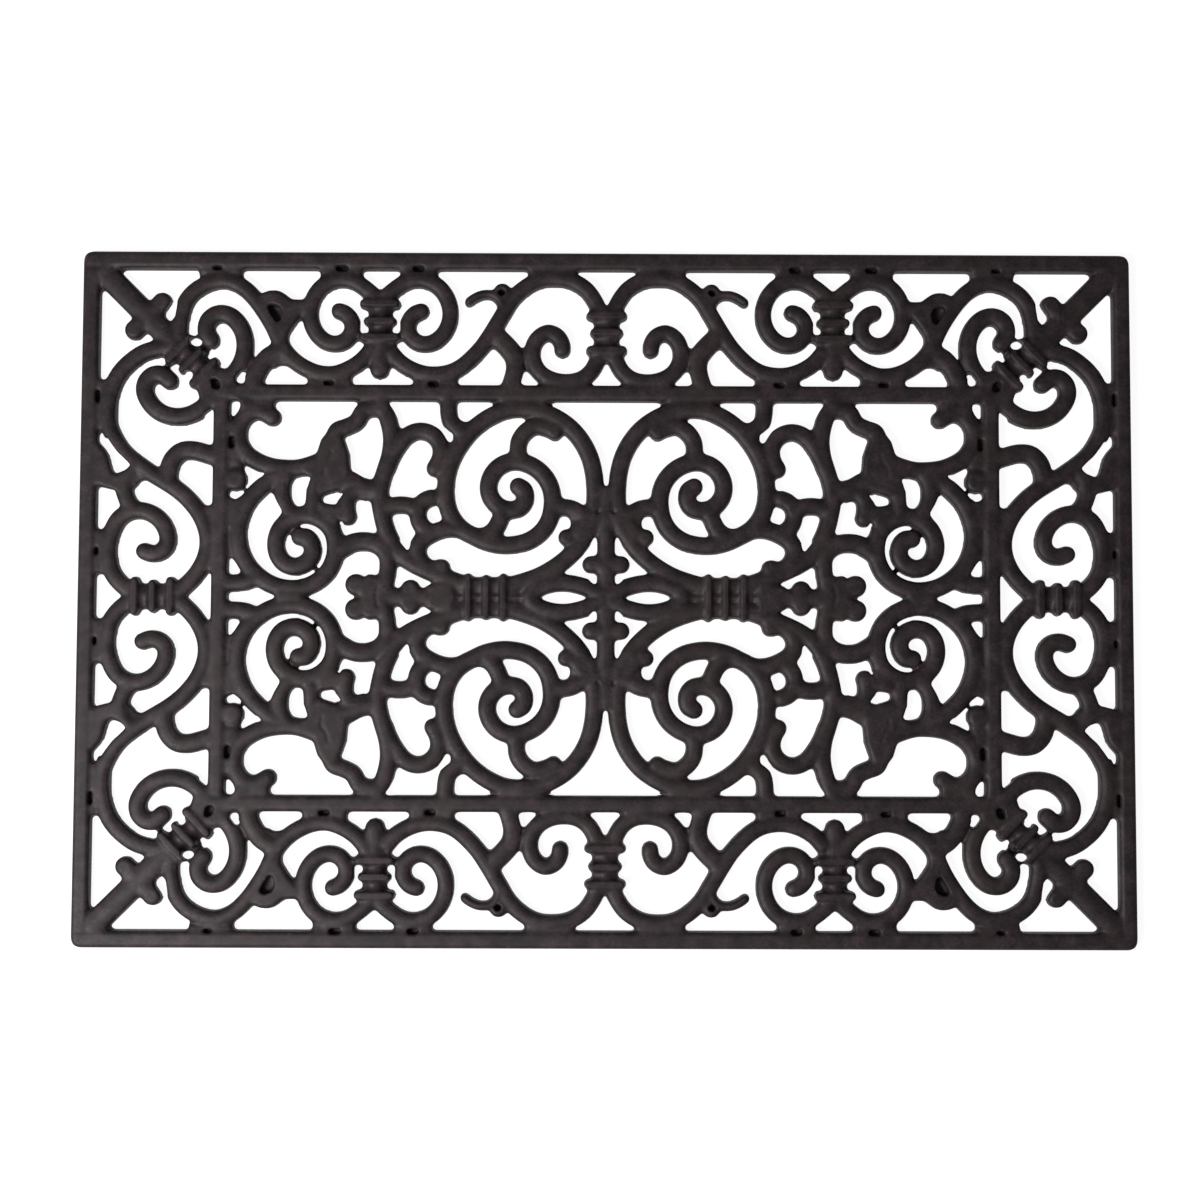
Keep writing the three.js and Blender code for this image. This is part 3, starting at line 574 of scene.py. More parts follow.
@dataclass(frozen=True, kw_only=True)
class InnerShortRail(Rail):
    """The short rail of the inner frame, with a lobe and its neck on its inner side."""

    name: str = "inner_rail"
    copies: Copies = Copies.RIGHT_AND_LEFT
    lobe: Squares = (211.3, 67)
    lobe_radius: float = 6.2 * MM
    fillets: tuple[Table, ...] = (((216, 61), (216, 78), (207.8, 76), (205.4, 68.8)),)

    def shapes(self) -> list[Shape]:
        """The rail, from just past the middle to the long rail, and the lobe."""
        straight = self.along_y(Face.INNER_RAIL_INSIDE, Face.INNER_RAIL_OUTSIDE, Face.INNER_RAIL_INSIDE)
        return [straight, Disc(self.lobe, self.lobe_radius), *self.joins()]


@dataclass(frozen=True, kw_only=True)
class Collar(Piece):
    """A collar that seems to tie bars together: a band across them with raised ribs."""

    band: Table
    band_width: float
    rib_middles: Table
    rib_lengths: tuple[float, ...]
    band_height: float = 6.4 * MM
    strand_width: float = 8.8 * MM
    strand_height: float = 7.2 * MM
    rib_width: float = 5.2 * MM
    rib_height: float = 9.6 * MM
    rib_crown: float = 3 * MM
    claim: float = 0.9 * MM

    def ribs(self) -> list[Shape]:
        """The raised ribs, at right angles to the band.

        Returns:
            Short rods with round ends.
        """
        (x0, y0), (x1, y1) = self.band
        long = math.hypot(x1 - x0, y1 - y0)
        across = (-(y1 - y0) / long, (x1 - x0) / long)
        made = []
        for (x, y), length in zip(self.rib_middles, self.rib_lengths):
            reach = (length - self.rib_width) / 2 / MM
            ends = tuple(
                (x + side * across[0] * reach, y + side * across[1] * reach) for side in (-1, 1)
            )
            made.append(
                Bar(ends, self.rib_width, True, True, height=self.rib_height, crown=self.rib_crown),
            )
        return made

    def shapes(self) -> list[Shape]:
        """The band, the strand along its middle and the ribs."""
        return [
            Bar(self.band, self.band_width, height=self.band_height),
            Bar(self.band, self.strand_width, height=self.strand_height),
            *self.ribs(),
        ]


@dataclass(frozen=True, kw_only=True)
class BorderCollar(Collar):
    """The collar of the long border, with a round finial below it."""

    name: str = "border_collar"
    band: Table = ((130, 147), (130, 170))
    band_width: float = 14.4 * MM
    band_height: float = 4.6 * MM
    rib_middles: Table = ((130, 168.4), (130, 158.2), (130, 148.8))
    rib_lengths: tuple[float, ...] = (23.5 * MM, 19 * MM, 23.5 * MM)
    finial: Table = ((130, 148), (130, 131))
    finial_width: float = 11 * MM
    fillets: tuple[Table, ...] = (((121, 146.8), (121.5, 141.8), (125.5, 140.5), (126, 147)),)

    def shapes(self) -> list[Shape]:
        """The band, its ribs and the finial."""
        return [*super().shapes(), Bar(self.finial, self.finial_width, True), *self.joins()]


CENTRE_COLLAR = Collar(
    name="centre_collar", copies=Copies.BACK_AND_FRONT, band=((0, 140), (0, 164)), band_width=14 * MM,
    rib_middles=((0, 161.9), (0, 152.2), (0, 142)), rib_lengths=(23.5 * MM, 19 * MM, 23.5 * MM),
)
SIDE_COLLAR = Collar(
    name="side_collar", copies=Copies.RIGHT_AND_LEFT, band=((245.5, 0), (270, 0)), band_width=14 * MM,
    rib_middles=((247.6, 0), (257.6, 0), (267.7, 0)), rib_lengths=(22.3 * MM, 19 * MM, 22.3 * MM),
)
CORNER_COLLAR = Collar(
    name="corner_collar", band=((246, 143), (229, 126.5)), band_width=14 * MM, band_height=4.6 * MM,
    rib_middles=((244.5, 141.3), (237.7, 134.9), (230.5, 128)),
    rib_lengths=(22.3 * MM, 19 * MM, 22.3 * MM),
)


@dataclass(frozen=True, kw_only=True)
class Spear(Piece):
    """The spear in the corner of the border, with two barbs."""

    name: str = "corner_spear"
    shaft: Table = ((243, 140.5), (290, 187.5))
    shaft_width: float = 13.2 * MM
    barbs: Table = ((255, 169), (270.7, 152.7))
    barb_width: float = 10.8 * MM
    webs: tuple[Table, ...] = (
        ((277, 190), (278, 187.2), (284, 181), (286.6, 176.4), (292, 176.4), (292, 190)),
    )

    def shapes(self) -> list[Shape]:
        """The shaft and the barbs with their round ends."""
        return [
            Bar(self.shaft, self.shaft_width),
            *self.joins(),
            Bar(self.barbs, self.barb_width),
            *(Disc(end, self.barb_width / 2) for end in self.barbs),
        ]


@dataclass(frozen=True, kw_only=True)
class CentreArch(Piece):
    """The arch in the middle of the long border."""

    name: str = "centre_arch"
    copies: Copies = Copies.BACK_AND_FRONT
    arch: Table = (
        (3.5, 163), (6.8, 170.5), (12, 177.5), (20, 182.3), (30, 183.8), (39, 182.6), (47.2, 178.2),
        (54.2, 171.5), (59.5, 163), (66.5, 151.3), (71.7, 143.6), (77, 137.8), (82.5, 132.9),
        (88.5, 129.6), (96.5, 127.9), (104, 128.2), (112, 130.8), (119, 135.3), (124.5, 141.5),
    )
    crown: Table = ((-3.5, 164), (3.5, 164), (3.5, 167), (-3.5, 167))
    knob: Squares = (60, 175.5)
    knob_radius: float = 5 * MM
    tendril: Table = ((59, 165), (62, 171.5), (66, 174), (71.5, 174), (76.5, 171.8), (79, 169.9))
    bracket: Table = ((65, 151.5), (57.5, 144.5), (53, 138.5), (51.9, 132), (53, 126), (55, 120))
    crests: tuple[Box, ...] = ((17.5, 185, 45, 189), (85.5, 120, 110.5, 125))

    def shapes(self) -> list[Shape]:
        """The arch with its knob, tendril and bracket, on both sides of the middle."""
        half = [
            Bar(self.arch, Width.BORDER.value),
            Disc(self.knob, self.knob_radius),
            Bar(self.tendril, Width.TENDRIL.value, True),
            Bar(self.bracket, Width.BRACKET.value),
            *self.joins(),
        ]
        return [Patch(self.crown), *both_sides(half)]


@dataclass(frozen=True, kw_only=True)
class CentreHooks(Piece):
    """The two hooks below the arch."""

    name: str = "centre_hooks"
    copies: Copies = Copies.BACK_AND_FRONT
    hook: Table = (
        (3.2, 141), (5.5, 136), (9, 129.8), (14.5, 125.5), (22.5, 123.8), (31, 125), (38, 129),
        (42, 135.5), (42.4, 143), (39.5, 149), (33.8, 152.3), (28.3, 150.2), (25.6, 145.5),
        (25.4, 142.5),
    )
    root: Table = ((-3.5, 135.5), (3.5, 135.5), (3.5, 140), (-3.5, 140))
    crests: tuple[Box, ...] = ((10.5, 120, 36.5, 125),)

    def shapes(self) -> list[Shape]:
        """Both hooks and their root."""
        half = [Bar(self.hook, Width.BORDER.value, True), *self.joins()]
        return [Patch(self.root), *both_sides(half)]


@dataclass(frozen=True, kw_only=True)
class Heart(Piece):
    """The two scrolls that meet over the border collar."""

    name: str = "heart"
    axis: float = 130
    scroll: Table = (
        (130, 169), (127, 172.5), (122, 177), (115, 181.5), (107, 182.8), (99, 180.3), (93, 174.3),
        (90, 166), (90.4, 158), (93.8, 151), (99.3, 146.5), (105, 145.4), (110.5, 147.5),
        (113.8, 152.5), (113.5, 158.5), (110, 163), (106.5, 164.4),
    )
    crests: tuple[Box, ...] = ((97.5, 185, 118.5, 189), (140.5, 185, 164.5, 189))

    def shapes(self) -> list[Shape]:
        """Both scrolls, and the crests that meet the rail."""
        far = tuple((2 * self.axis - x, y) for x, y in self.scroll)
        return [
            Bar(self.scroll, Width.BORDER.value, True),
            Bar(far, Width.BORDER.value, True),
            *self.joins(),
        ]


@dataclass(frozen=True, kw_only=True)
class LongScroll(Piece):
    """The long scroll of the border, with a tulip and a petal."""

    name: str = "long_scroll"
    scroll: Table = (
        (133, 146), (135.5, 141.5), (141, 135.3), (148, 130.8), (156, 128), (164, 128.2), (172, 131),
        (179, 135.5), (185, 142), (191.5, 155.5), (196.3, 163.5), (202.6, 172), (209.5, 178.3),
        (218, 181.7), (226.3, 181), (235.3, 176.7), (241.4, 170), (244, 162), (245.1, 154), (245, 147),
    )
    tulip: Table = (
        (171, 163.5), (174.5, 162), (176.5, 159.5), (179.7, 155), (182.4, 150.6), (182.5, 147),
        (188, 147), (194, 158), (201, 169), (199.5, 172.6), (197, 174.6), (193.5, 175.8), (190, 176),
        (187, 175.3), (184.3, 173.6), (182.1, 171.7), (180, 170.7), (171, 170.6),
    )
    petal: Table = ((182, 142.5), (189, 140.5), (194.5, 137), (198.8, 131), (201.3, 125.5), (202.5, 118))
    crests: tuple[Box, ...] = ((146, 120, 171, 125), (209.3, 185, 234.3, 189))
    fillets: tuple[Table, ...] = (
        ((179, 131), (184.2, 132.6), (187.4, 132.7), (191, 130.8), (193, 137), (180, 138)),
    )
    webs: tuple[Table, ...] = (((200, 119), (210, 119), (212, 124), (206, 137), (201, 137)),)

    def shapes(self) -> list[Shape]:
        """The scroll, the tulip, the petal and the crests that meet the rails."""
        return [
            Bar(self.scroll, Width.BORDER.value),
            Patch(self.tulip),
            Bar(self.petal, Width.LEAF.value),
            *self.joins(),
        ]


@dataclass(frozen=True, kw_only=True)
class CornerHooks(Piece):
    """The two hooks around the corner of the inner frame."""

    name: str = "corner_hooks"
    back: Table = (
        (217, 123), (210, 133), (207.5, 141), (208, 149.7), (211.6, 157.2), (217.2, 161.9),
        (223.7, 162.3), (228.8, 158.3), (229.8, 152), (227, 147.2),
    )
    side: Table = (
        (221, 119), (227, 112.5), (232.5, 107.5), (239, 104.2), (246, 103.2), (254, 105),
        (260.3, 109.7), (264.3, 117), (263.6, 123), (259.5, 127), (254.5, 127), (250.2, 123.5),
    )
    root: Table = ((219, 117), (224, 109), (231, 108.5), (235, 120), (230, 128), (220, 131), (211, 127))
    webs: tuple[Table, ...] = (
        ((224, 137), (229, 133), (238, 140), (239, 148), (234, 151.5), (229, 150)),
    )

    def shapes(self) -> list[Shape]:
        """Both hooks and the mass where they start."""
        return [
            Bar(self.back, Width.FIELD.value, True),
            Bar(self.side, Width.FIELD.value, True),
            Patch(self.root),
            *self.joins(),
        ]


@dataclass(frozen=True, kw_only=True)
class SideScroll(Piece):
    """The scrolls of the short border."""

    name: str = "side_scroll"
    stops_short: tuple[bool, bool] = (False, True)
    arch: Table = (
        (246, 143), (256.5, 142.2), (265, 139.8), (272.5, 134.7), (279, 127.6), (283.2, 118.4),
        (285, 108), (284.3, 98), (280.5, 89.5), (275, 82), (262, 72), (246.5, 62.3), (239, 56),
        (232.5, 48), (228.3, 39), (227, 30.5), (228.5, 22), (232.5, 14), (238.5, 7), (246, 1),
    )
    bracket: Table = (
        (221, 79.5), (229, 82), (236.5, 83.8), (243, 83), (248, 78), (250, 71.5), (250.5, 65),
    )
    spiral: Table = (
        (268, 1), (276, 7), (281, 13.5), (283.3, 22), (283.3, 30), (281, 38.5), (277, 45), (271, 48.5),
        (264.5, 49), (258, 46.5), (252.8, 41.5), (250, 35), (250.3, 29.5), (253.5, 25.5), (258.5, 24.3),
        (263, 25.7),
    )
    link: Table = ((268, 76), (273.5, 69), (275, 61.5), (273, 54.5), (268, 48))
    rail_leaf: Table = (
        (272, 56), (278.5, 58.5), (289, 62.9), (293, 62.9), (293, 87.8), (289.3, 87.2), (286.4, 83.9),
        (284.4, 80.4), (282.9, 74.8), (281.7, 70.8), (279.7, 70.2), (272, 69.4),
    )
    crests: tuple[Box, ...] = ((287, 95, 291, 124), (286, 13, 291, 38), (223, 14, 229, 52))
    fillets: tuple[Table, ...] = (
        ((256.5, 65.9), (262.6, 67), (266, 65.8), (268.6, 62.2), (272, 66), (268, 72), (258, 70)),
    )

    def shapes(self) -> list[Shape]:
        """The arch, bracket, spiral, link, leaf and the crests that meet the rails."""
        half = [
            Bar(self.arch, Width.SIDE.value),
            Bar(self.bracket, Width.LEAF.value),
            Bar(self.spiral, Width.SIDE.value, True),
            Bar(self.link, Width.SIDE.value),
            Patch(self.rail_leaf),
            *self.joins(),
        ]
        return both_ends(half)


@dataclass(frozen=True, kw_only=True)
class Sleeve(Collar):
    """The ribbed sleeve beside the cross, with the bud at its end."""

    name: str = "sleeve"
    copies: Copies = Copies.RIGHT_AND_LEFT
    band: Table = ((48.5, 0), (88, 0))
    band_width: float = 23.2 * MM
    rib_middles: Table = ((58.4, 0), (68.2, 0), (78.3, 0))
    rib_lengths: tuple[float, ...] = (27.4 * MM, 25.8 * MM, 27.4 * MM)
    rib_width: float = 4.1 * MM
    rib_crown: float = 2.4 * MM
    band_height: float = 5.2 * MM
    bundle: Table = ((44, 8), (56, 7.2), (68, 6.9), (80, 6.9), (90, 7.2))
    bundle_width: float = 8.6 * MM
    bundle_height: float = 7.2 * MM
    bundle_crown: float = 1.8 * MM
    strand_width: float = 4.6 * MM
    strand_height: float = 7.2 * MM
    neck: Table = ((86, 0), (136, 0))
    neck_width: float = 10 * MM
    root: Table = ((86, -11), (102, -6.5), (102, 6.5), (86, 11))
    bead: Squares = (111.3, 4.5)
    bead_radius: float = 5.3 * MM
    lobe: Squares = (142.3, 7)
    lobe_radius: float = 6 * MM
    shoulder: Table = ((124, -11), (135, -13), (140.5, -9), (140.5, 9), (135, 13), (124, 11))
    arm: Table = ((126.5, 4), (124.3, 16), (125, 24), (129, 29))

    def shapes(self) -> list[Shape]:
        """The sleeve, its ribs and the bud."""
        pairs = [
            Disc(self.bead, self.bead_radius),
            Disc(self.lobe, self.lobe_radius),
            Bar(self.arm, Width.SIDE.value),
            Bar(self.bundle, self.bundle_width, height=self.bundle_height, crown=self.bundle_crown),
        ]
        return [
            *super().shapes(),
            Bar(self.neck, self.neck_width),
            Patch(self.root),
            Patch(self.shoulder),
            *both_ends(pairs),
        ]


@dataclass(frozen=True, kw_only=True)
class Cross(Piece):
    """The cross in the very middle."""

    name: str = "cross"
    copies: Copies = Copies.ONE
    stem: Table = ((0, -64), (0, 64))
    stem_width: float = 9.6 * MM
    arm: Table = ((0, 19), (8.5, 19))
    ribbon: Table = (
        (2, 52), (7.5, 42.5), (12, 35), (17, 28.1), (23, 22), (30.1, 16.7), (38.2, 12.2), (48, 8.7),
        (56, 6.5),
    )
    knob: Squares = (22.5, 34.5)
    knob_radius: float = 4.6 * MM
    gusset: Table = ((8, 42), (15, 31), (22, 37), (15, 46), (10, 46))
    eye: Table = ((1, 1), (9, 5), (15, 7), (22, 8.3), (30, 8), (38, 5.6), (42.3, 2.6), (43.3, -1))
    eye_height: float = 8.8 * MM
    root: Table = ((40, -10), (50, -10), (50, 10), (40, 10))
    root_height: float = 5.4 * MM
    fillets: tuple[Table, ...] = (
        ((12, 49), (13, 36), (21.2, 37.9), (20.4, 40.8), (20.2, 43.3), (21.2, 46), (19, 49)),
    )

    def shapes(self) -> list[Shape]:
        """The stem and the four quarters round it."""
        quarter = [
            Bar(self.arm, self.stem_width, True),
            Bar(self.ribbon, Width.FIELD.value),
            Disc(self.knob, self.knob_radius),
            Patch(self.gusset),
            *self.joins(),
            Bar(self.eye, Width.SIDE.value, height=self.eye_height),
        ]
        return [
            Bar(self.stem, self.stem_width),
            *both_sides([Patch(self.root, height=self.root_height)]),
            *both_sides(both_ends(quarter)),
        ]


@dataclass(frozen=True, kw_only=True)
class Wheel(Piece):
    """The ring, the spiral inside it and the short bars between them."""

    name: str = "wheel"
    stops_short: tuple[bool, bool] = (True, False)
    ring: Table = (
        (6.5, 50), (6.3, 62), (7.3, 72.3), (9.8, 81.6), (14.3, 90.2), (20.8, 97.8), (29.6, 103.8),
        (39, 107.5), (48, 108.6), (57.2, 107.7), (67.4, 103.3), (76.8, 96), (84.3, 86.4), (89.3, 76.2),
        (91.5, 66), (91.4, 56), (89, 47.5), (84, 40.5), (78, 36),
    )
    spiral: Table = (
        (93.5, 17), (99, 16), (105, 19.5), (107.5, 26.5), (105.5, 32), (100, 36), (92, 39), (84, 39),
        (77, 35.8), (69, 32), (60, 30), (52, 30.3), (44, 32.5), (37, 37.5), (32.5, 44.5), (30.7, 53),
        (31, 60), (33.5, 67), (38.5, 73), (45.5, 77), (53, 78.2), (60, 76), (65, 71), (67.3, 64),
        (66, 57.5), (61.5, 52.3), (55.5, 50.3), (49.5, 51.3), (46.3, 56), (47, 61.5), (50.2, 63.8),
    )
    strut: Table = ((59, 51), (61, 43), (64, 38), (69, 33))
    branch: Table = ((31, 96.5), (40, 98.5), (46, 95.5), (49.8, 90), (50.5, 84), (50, 78))
    knobs: Table = ((29.5, 95), (93.5, 17))
    knob_radius: float = 4.6 * MM
    spoke: Table = ((5, 46), (13, 47.5), (19.5, 51), (26, 52), (32, 52))
    tail: Table = ((90.6, 115), (90.4, 107), (89.3, 101.5), (86, 97), (80, 93))
    crests: tuple[Box, ...] = ((35, 108, 61, 114),)
    fillets: tuple[Table, ...] = (
        ((76, 101.5), (84, 94), (91, 100), (86, 105.5), (83.9, 102), (80.6, 100.4), (78.2, 101.4)),
        (
            (62, 38), (66, 33), (80, 36.5), (80.5, 42.6), (76.1, 40.5), (72.3, 39.7), (69.7, 40.1),
            (67.1, 42.4), (65.2, 46.3), (62, 45),
        ),
    )

    def shapes(self) -> list[Shape]:
        """The ring, the spiral and what ties them together."""
        return [
            Bar(self.ring, Width.FIELD.value),
            Bar(self.spiral, Width.FIELD.value, True),
            *(Disc(spot, self.knob_radius) for spot in self.knobs),
            *(Bar(line, Width.SIDE.value) for line in (self.strut, self.branch, self.spoke, self.tail)),
            *self.joins(),
        ]


@dataclass(frozen=True, kw_only=True)
class LeafStem(Piece):
    """The stem with its loops, the leaf that grows from it and the scroll round the window."""

    name: str = "leaf_stem"
    stem: Table = (
        (80, 7), (92, 11.4), (104, 16.2), (113, 21), (119.3, 26.5), (123.5, 34), (126.3, 41), (128, 48),
        (129.3, 56), (128.7, 64), (126.5, 72), (123.8, 81), (122.8, 90), (123.8, 98), (126.3, 106),
        (130, 115),
    )
    hump: Table = ((122, 26), (129, 29.5), (136, 31.7), (144, 31), (153, 26))
    upper_loop: Table = (
        (125.5, 73), (122.5, 80.5), (118, 88), (113, 93.3), (107.5, 95.4), (101.8, 94.6), (97, 91),
        (94.6, 85.5), (95.3, 79), (98, 74),
    )
    lower_loop: Table = ((99, 36), (105, 40.5), (107.3, 45.5), (107, 51), (103.8, 55.3), (100, 57))
    loop_bridge: Table = ((104, 49), (111, 52), (117.5, 52.9), (124, 51.7), (129, 49))
    leaf_top: Table = (
        (127, 109), (134, 108.3), (139, 107), (143, 100.5), (148.5, 97.7), (154, 95.5), (156.5, 89),
        (158, 82), (161, 76),
    )
    leaf_base: Table = ((127, 60.5), (137, 62.5), (145, 65), (152, 68))
    leaf_hook: Table = ((135, 62), (143, 61.5), (147.5, 57), (148.3, 51), (147.3, 46))
    leaf_body: Table = (
        (146, 71), (146, 65), (151, 61.5), (162, 58), (169, 60), (169, 68), (176, 72), (166, 80),
        (163, 90), (156, 99), (151, 93.4), (147, 82),
    )
    hook_web: Table = ((148, 52), (150, 42), (156, 40), (164, 46), (163, 54), (158, 53))
    stalk: Table = ((165.5, 74), (166.5, 62), (167, 54), (168.5, 46))
    link: Table = ((177, 45), (183, 51.5), (185, 58), (184.8, 65), (181, 73))
    window: Table = (
        (158, 80), (168, 76), (176, 73.8), (184, 73.7), (192, 74.8), (199, 77.4), (205.5, 81.7),
        (209.5, 88), (210.3, 95), (208, 101.5), (203, 105.8), (197, 106.3), (191, 103),
    )
    window_link: Table = ((199, 106), (206, 110), (212, 116.5))
    crests: tuple[Box, ...] = ((190, 106, 202, 114), (208, 74, 217, 101))
    fillets: tuple[Table, ...] = (
        (
            (129, 58), (133.5, 55.5), (137.5, 55), (142, 56), (148, 60), (150, 70), (144.4, 72),
            (134.2, 65.9),
        ),
    )
    webs: tuple[Table, ...] = (((208, 100), (217, 100), (217, 114), (208, 114)),)

    def shapes(self) -> list[Shape]:
        """The stem, loops, leaf and window scroll."""
        side = Width.SIDE.value
        return [
            Bar(self.stem, Width.FIELD.value),
            Bar(self.hump, Width.LEAF.value),
            Bar(self.upper_loop, side, True),
            Bar(self.lower_loop, side, True),
            Bar(self.loop_bridge, side),
            Bar(self.leaf_top, side),
            Bar(self.leaf_base, Width.LEAF.value),
            Bar(self.leaf_hook, Width.FIELD.value, True),
            Patch(self.leaf_body),
            Patch(self.hook_web),
            Bar(self.stalk, Width.BORDER.value),
            Bar(self.link, Width.FIELD.value),
            Bar(self.window, Width.FIELD.value, True),
            Bar(self.window_link, Width.FIELD.value),
            *self.joins(),
        ]


@dataclass(frozen=True, kw_only=True)
class OuterScrolls(Piece):
    """The pair of large scrolls at the end of the field."""

    name: str = "outer_scrolls"
    copies: Copies = Copies.RIGHT_AND_LEFT
    scroll: Table = (
        (183, 72), (190, 68), (197, 62.5), (203, 56), (207.5, 47.5), (209.7, 38), (208.7, 28),
        (204.5, 18.5), (198, 11.5), (190, 6.7), (181, 4.6), (172, 5.3), (164, 9), (158, 15),
        (154.6, 23), (154.3, 31), (156.3, 38), (161, 43.3), (167.5, 46.5), (174.5, 46.8), (181, 43.8),
        (186, 38.5), (188.2, 31), (187, 24), (183, 19), (177, 17.3), (170.8, 19.5), (167.4, 24.5),
        (167.8, 30), (171, 34), (174.5, 34.3),
    )
    spur: Table = ((197, 12), (205, 8.5), (211, 7.8), (218, 7.7))
    bridge: Box = (172, -4, 188, 4)
    crests: tuple[Box, ...] = ((208, 37, 217, 57),)
    fillets: tuple[Table, ...] = (
        ((206.2, 15.4), (209, 17.7), (211.5, 20.2), (213.2, 22.3), (217, 22.5), (217, 36), (206, 34)),
    )

    def shapes(self) -> list[Shape]:
        """Both scrolls, the spurs to the rail and the bridge between them."""
        half = [
            Bar(self.scroll, Width.FIELD.value, True),
            Bar(self.spur, Width.SIDE.value),
            *self.joins(),
        ]
        return [block(*self.bridge), *both_ends(half)]


# Moulding the rubber and parting it into the pieces

@dataclass(frozen=True)
class Recesses:
    """Slots, hollows, grooves and clefts in the top, and small openings, drawn in squares."""

    floor: float = 1.8 * MM
    groove_floor: float = 6.2 * MM
    groove_width: float = 1.6 * MM
    roof: float = 14 * MM
    under: float = -2 * MM
    slots: tuple[Box, ...] = (
        (220.4, 187.3, 226.3, 189.7),
        (148.5, 187, 155.5, 190),
        (104.5, 187, 111.5, 190),
        (155.5, 121, 162, 123.6),
        (95.5, 120.6, 102, 123.4),
        (289.2, 110.4, 291.6, 118.2),
        (212.3, 84.8, 215.3, 92),
        (213.9, 35.5, 215.6, 46.5),
        (288.7, 22.8, 290.7, 28),
    )
    hollows: tuple[Table, ...] = (
        (
            (186, 163.5), (186.6, 158.2), (189.2, 157), (192.4, 162), (194.6, 166.5), (192, 168),
            (187.6, 166.8),
        ),
        ((220.8, 118.2), (225.4, 119), (226.4, 124.4), (223.4, 124.6), (220.9, 122.6)),
    )
    dimple: Squares = (60.3, 175)
    dimple_radius: float = 2 * MM
    grooves: tuple[Table, ...] = (
        ((129, 6.2), (130, 4), (130.6, 0), (130, -4), (129, -6.2)),
        ((156.5, 83), (158, 77), (160.6, 74.2), (160.2, 68)),
        ((138.5, 0.3), (143, 0.3)),
        ((3.4, 54), (3.1, 51), (5, 48)),
    )
    clefts: tuple[Table, ...] = (
        ((47.7, 139.5), (46.7, 131.8)),
        ((202.4, 136.6), (205.2, 131.5), (207.4, 127.8)),
    )
    holes: tuple[Table, ...] = (
        ((4.9, 31), (7.5, 30), (9.3, 30.2), (6, 36.3)),
        ((4.9, 10.5), (5.8, 6.8), (9.8, 9.9), (7.5, 11.5)),
        ((46.6, 143.5), (47.6, 139.3), (50.4, 143.5)),
        ((111.4, 31.2), (112.2, 25.2), (118.6, 33), (114, 34)),
        ((149.4, 41.6), (151, 40.4), (154.1, 45.2), (153.1, 46.2)),
        ((148.4, 62), (150.6, 58), (152, 56), (154, 55), (154.7, 58.2), (151.8, 59.3), (150, 61.3)),
        ((167.9, 69.3), (169.8, 64.5), (170.5, 62), (174, 62), (174.7, 68.2), (170, 69.2)),
        ((184.2, 48.2), (187, 45.8), (191, 50), (191.5, 58.5), (190, 59), (187.4, 53.6)),
        ((208.8, 110), (210, 107.2), (213, 104.2), (215, 103.2), (215, 112.4), (210.4, 112.4)),
        ((207.2, 128), (207.2, 122.6), (211.6, 122.6), (212.6, 125), (209.6, 129.2), (208.2, 129.8)),
        (
            (231.8, 146.8), (233.8, 144.2), (237.4, 144.2), (239.8, 146.7), (237.6, 148.2),
            (236.2, 149.1), (234.6, 148.3),
        ),
        (
            (222.5, 143), (222.5, 138.6), (226, 137.6), (228.8, 135.9), (229.8, 137), (228.3, 139.7),
            (228, 143), (226, 141.8),
        ),
        (
            (271.1, 74.8), (274.5, 71.8), (278.6, 70.6), (282, 78), (286.5, 88), (286.6, 92.2),
            (285.6, 92), (283.4, 88.6), (281.6, 86), (278.4, 81.8), (275.2, 79),
        ),
        ((279.2, 60.3), (281, 54), (290.2, 55), (290.2, 63)),
        ((208.6, 59.5), (208.9, 57.6), (211, 55), (213.4, 56.6), (215.2, 57), (215.2, 60)),
        ((203.4, 63.6), (206.8, 60), (208.6, 60.6), (207, 62.2), (205.2, 64.6), (204.4, 66)),
        ((194.2, 70.4), (198, 67.6), (199.5, 71.2), (196.5, 71.4)),
        ((119, 112.7), (119, 104), (120, 103.8), (121.9, 107.6), (123.6, 110), (125.5, 112.7)),
        ((87.2, 93.6), (89.4, 88.4), (91, 90), (92.4, 92.6), (95, 96.3), (93, 98.2), (90.2, 95.6)),
        ((237, 126.3), (241, 126), (242.4, 129.4), (239, 129.6), (237.4, 128.4)),
        ((224.8, 108.4), (224.8, 102.5), (232, 102.8), (227.2, 107)),
        ((44.5, 129.5), (44, 122), (49.2, 122), (48.8, 125), (47.2, 130.4)),
        (
            (247.4, 160), (249.5, 158.6), (253.2, 160.2), (253.9, 162.6), (252.3, 165.2),
            (250.4, 167.6), (249.9, 170.2), (246.4, 170), (246.5, 166),
        ),
        ((118.5, 151.8), (123.2, 152.2), (123.2, 155.6), (120.5, 156.2), (120.5, 160.4), (118.5, 161)),
        ((141.5, 151.8), (141.5, 161), (139.5, 160.4), (139.5, 156.2), (136.8, 155.6), (136.8, 152.2)),
    )

    def shapes(self) -> list[Shape]:
        """The solids that are cut out of the mat.

        Returns:
            The slots, hollows, grooves and clefts, then the openings.
        """
        deep = {"floor": self.floor, "height": self.roof, "crown": 0}
        shallow = {**deep, "floor": self.groove_floor}
        through = {**deep, "floor": self.under}
        return [
            *(block(*slot, **deep) for slot in self.slots),
            *(Patch(hollow, **deep) for hollow in self.hollows),
            Disc(self.dimple, self.dimple_radius, **deep),
            *(Bar(groove, self.groove_width, True, True, **shallow) for groove in self.grooves),
            *(Bar(cleft, self.groove_width, True, True, **deep) for cleft in self.clefts),
            *(Patch(hole, **through) for hole in self.holes),
        ]


def to_mesh(bm: bmesh.types.BMesh, name: str) -> bpy.types.Mesh:
    """Turns a bmesh into a mesh.

    Args:
        bm: the bmesh, which is freed.
        name: the mesh's name.

    Returns:
        The new mesh.
    """
    mesh = bpy.data.meshes.new(name)
    bm.to_mesh(mesh)
    bm.free()
    return mesh


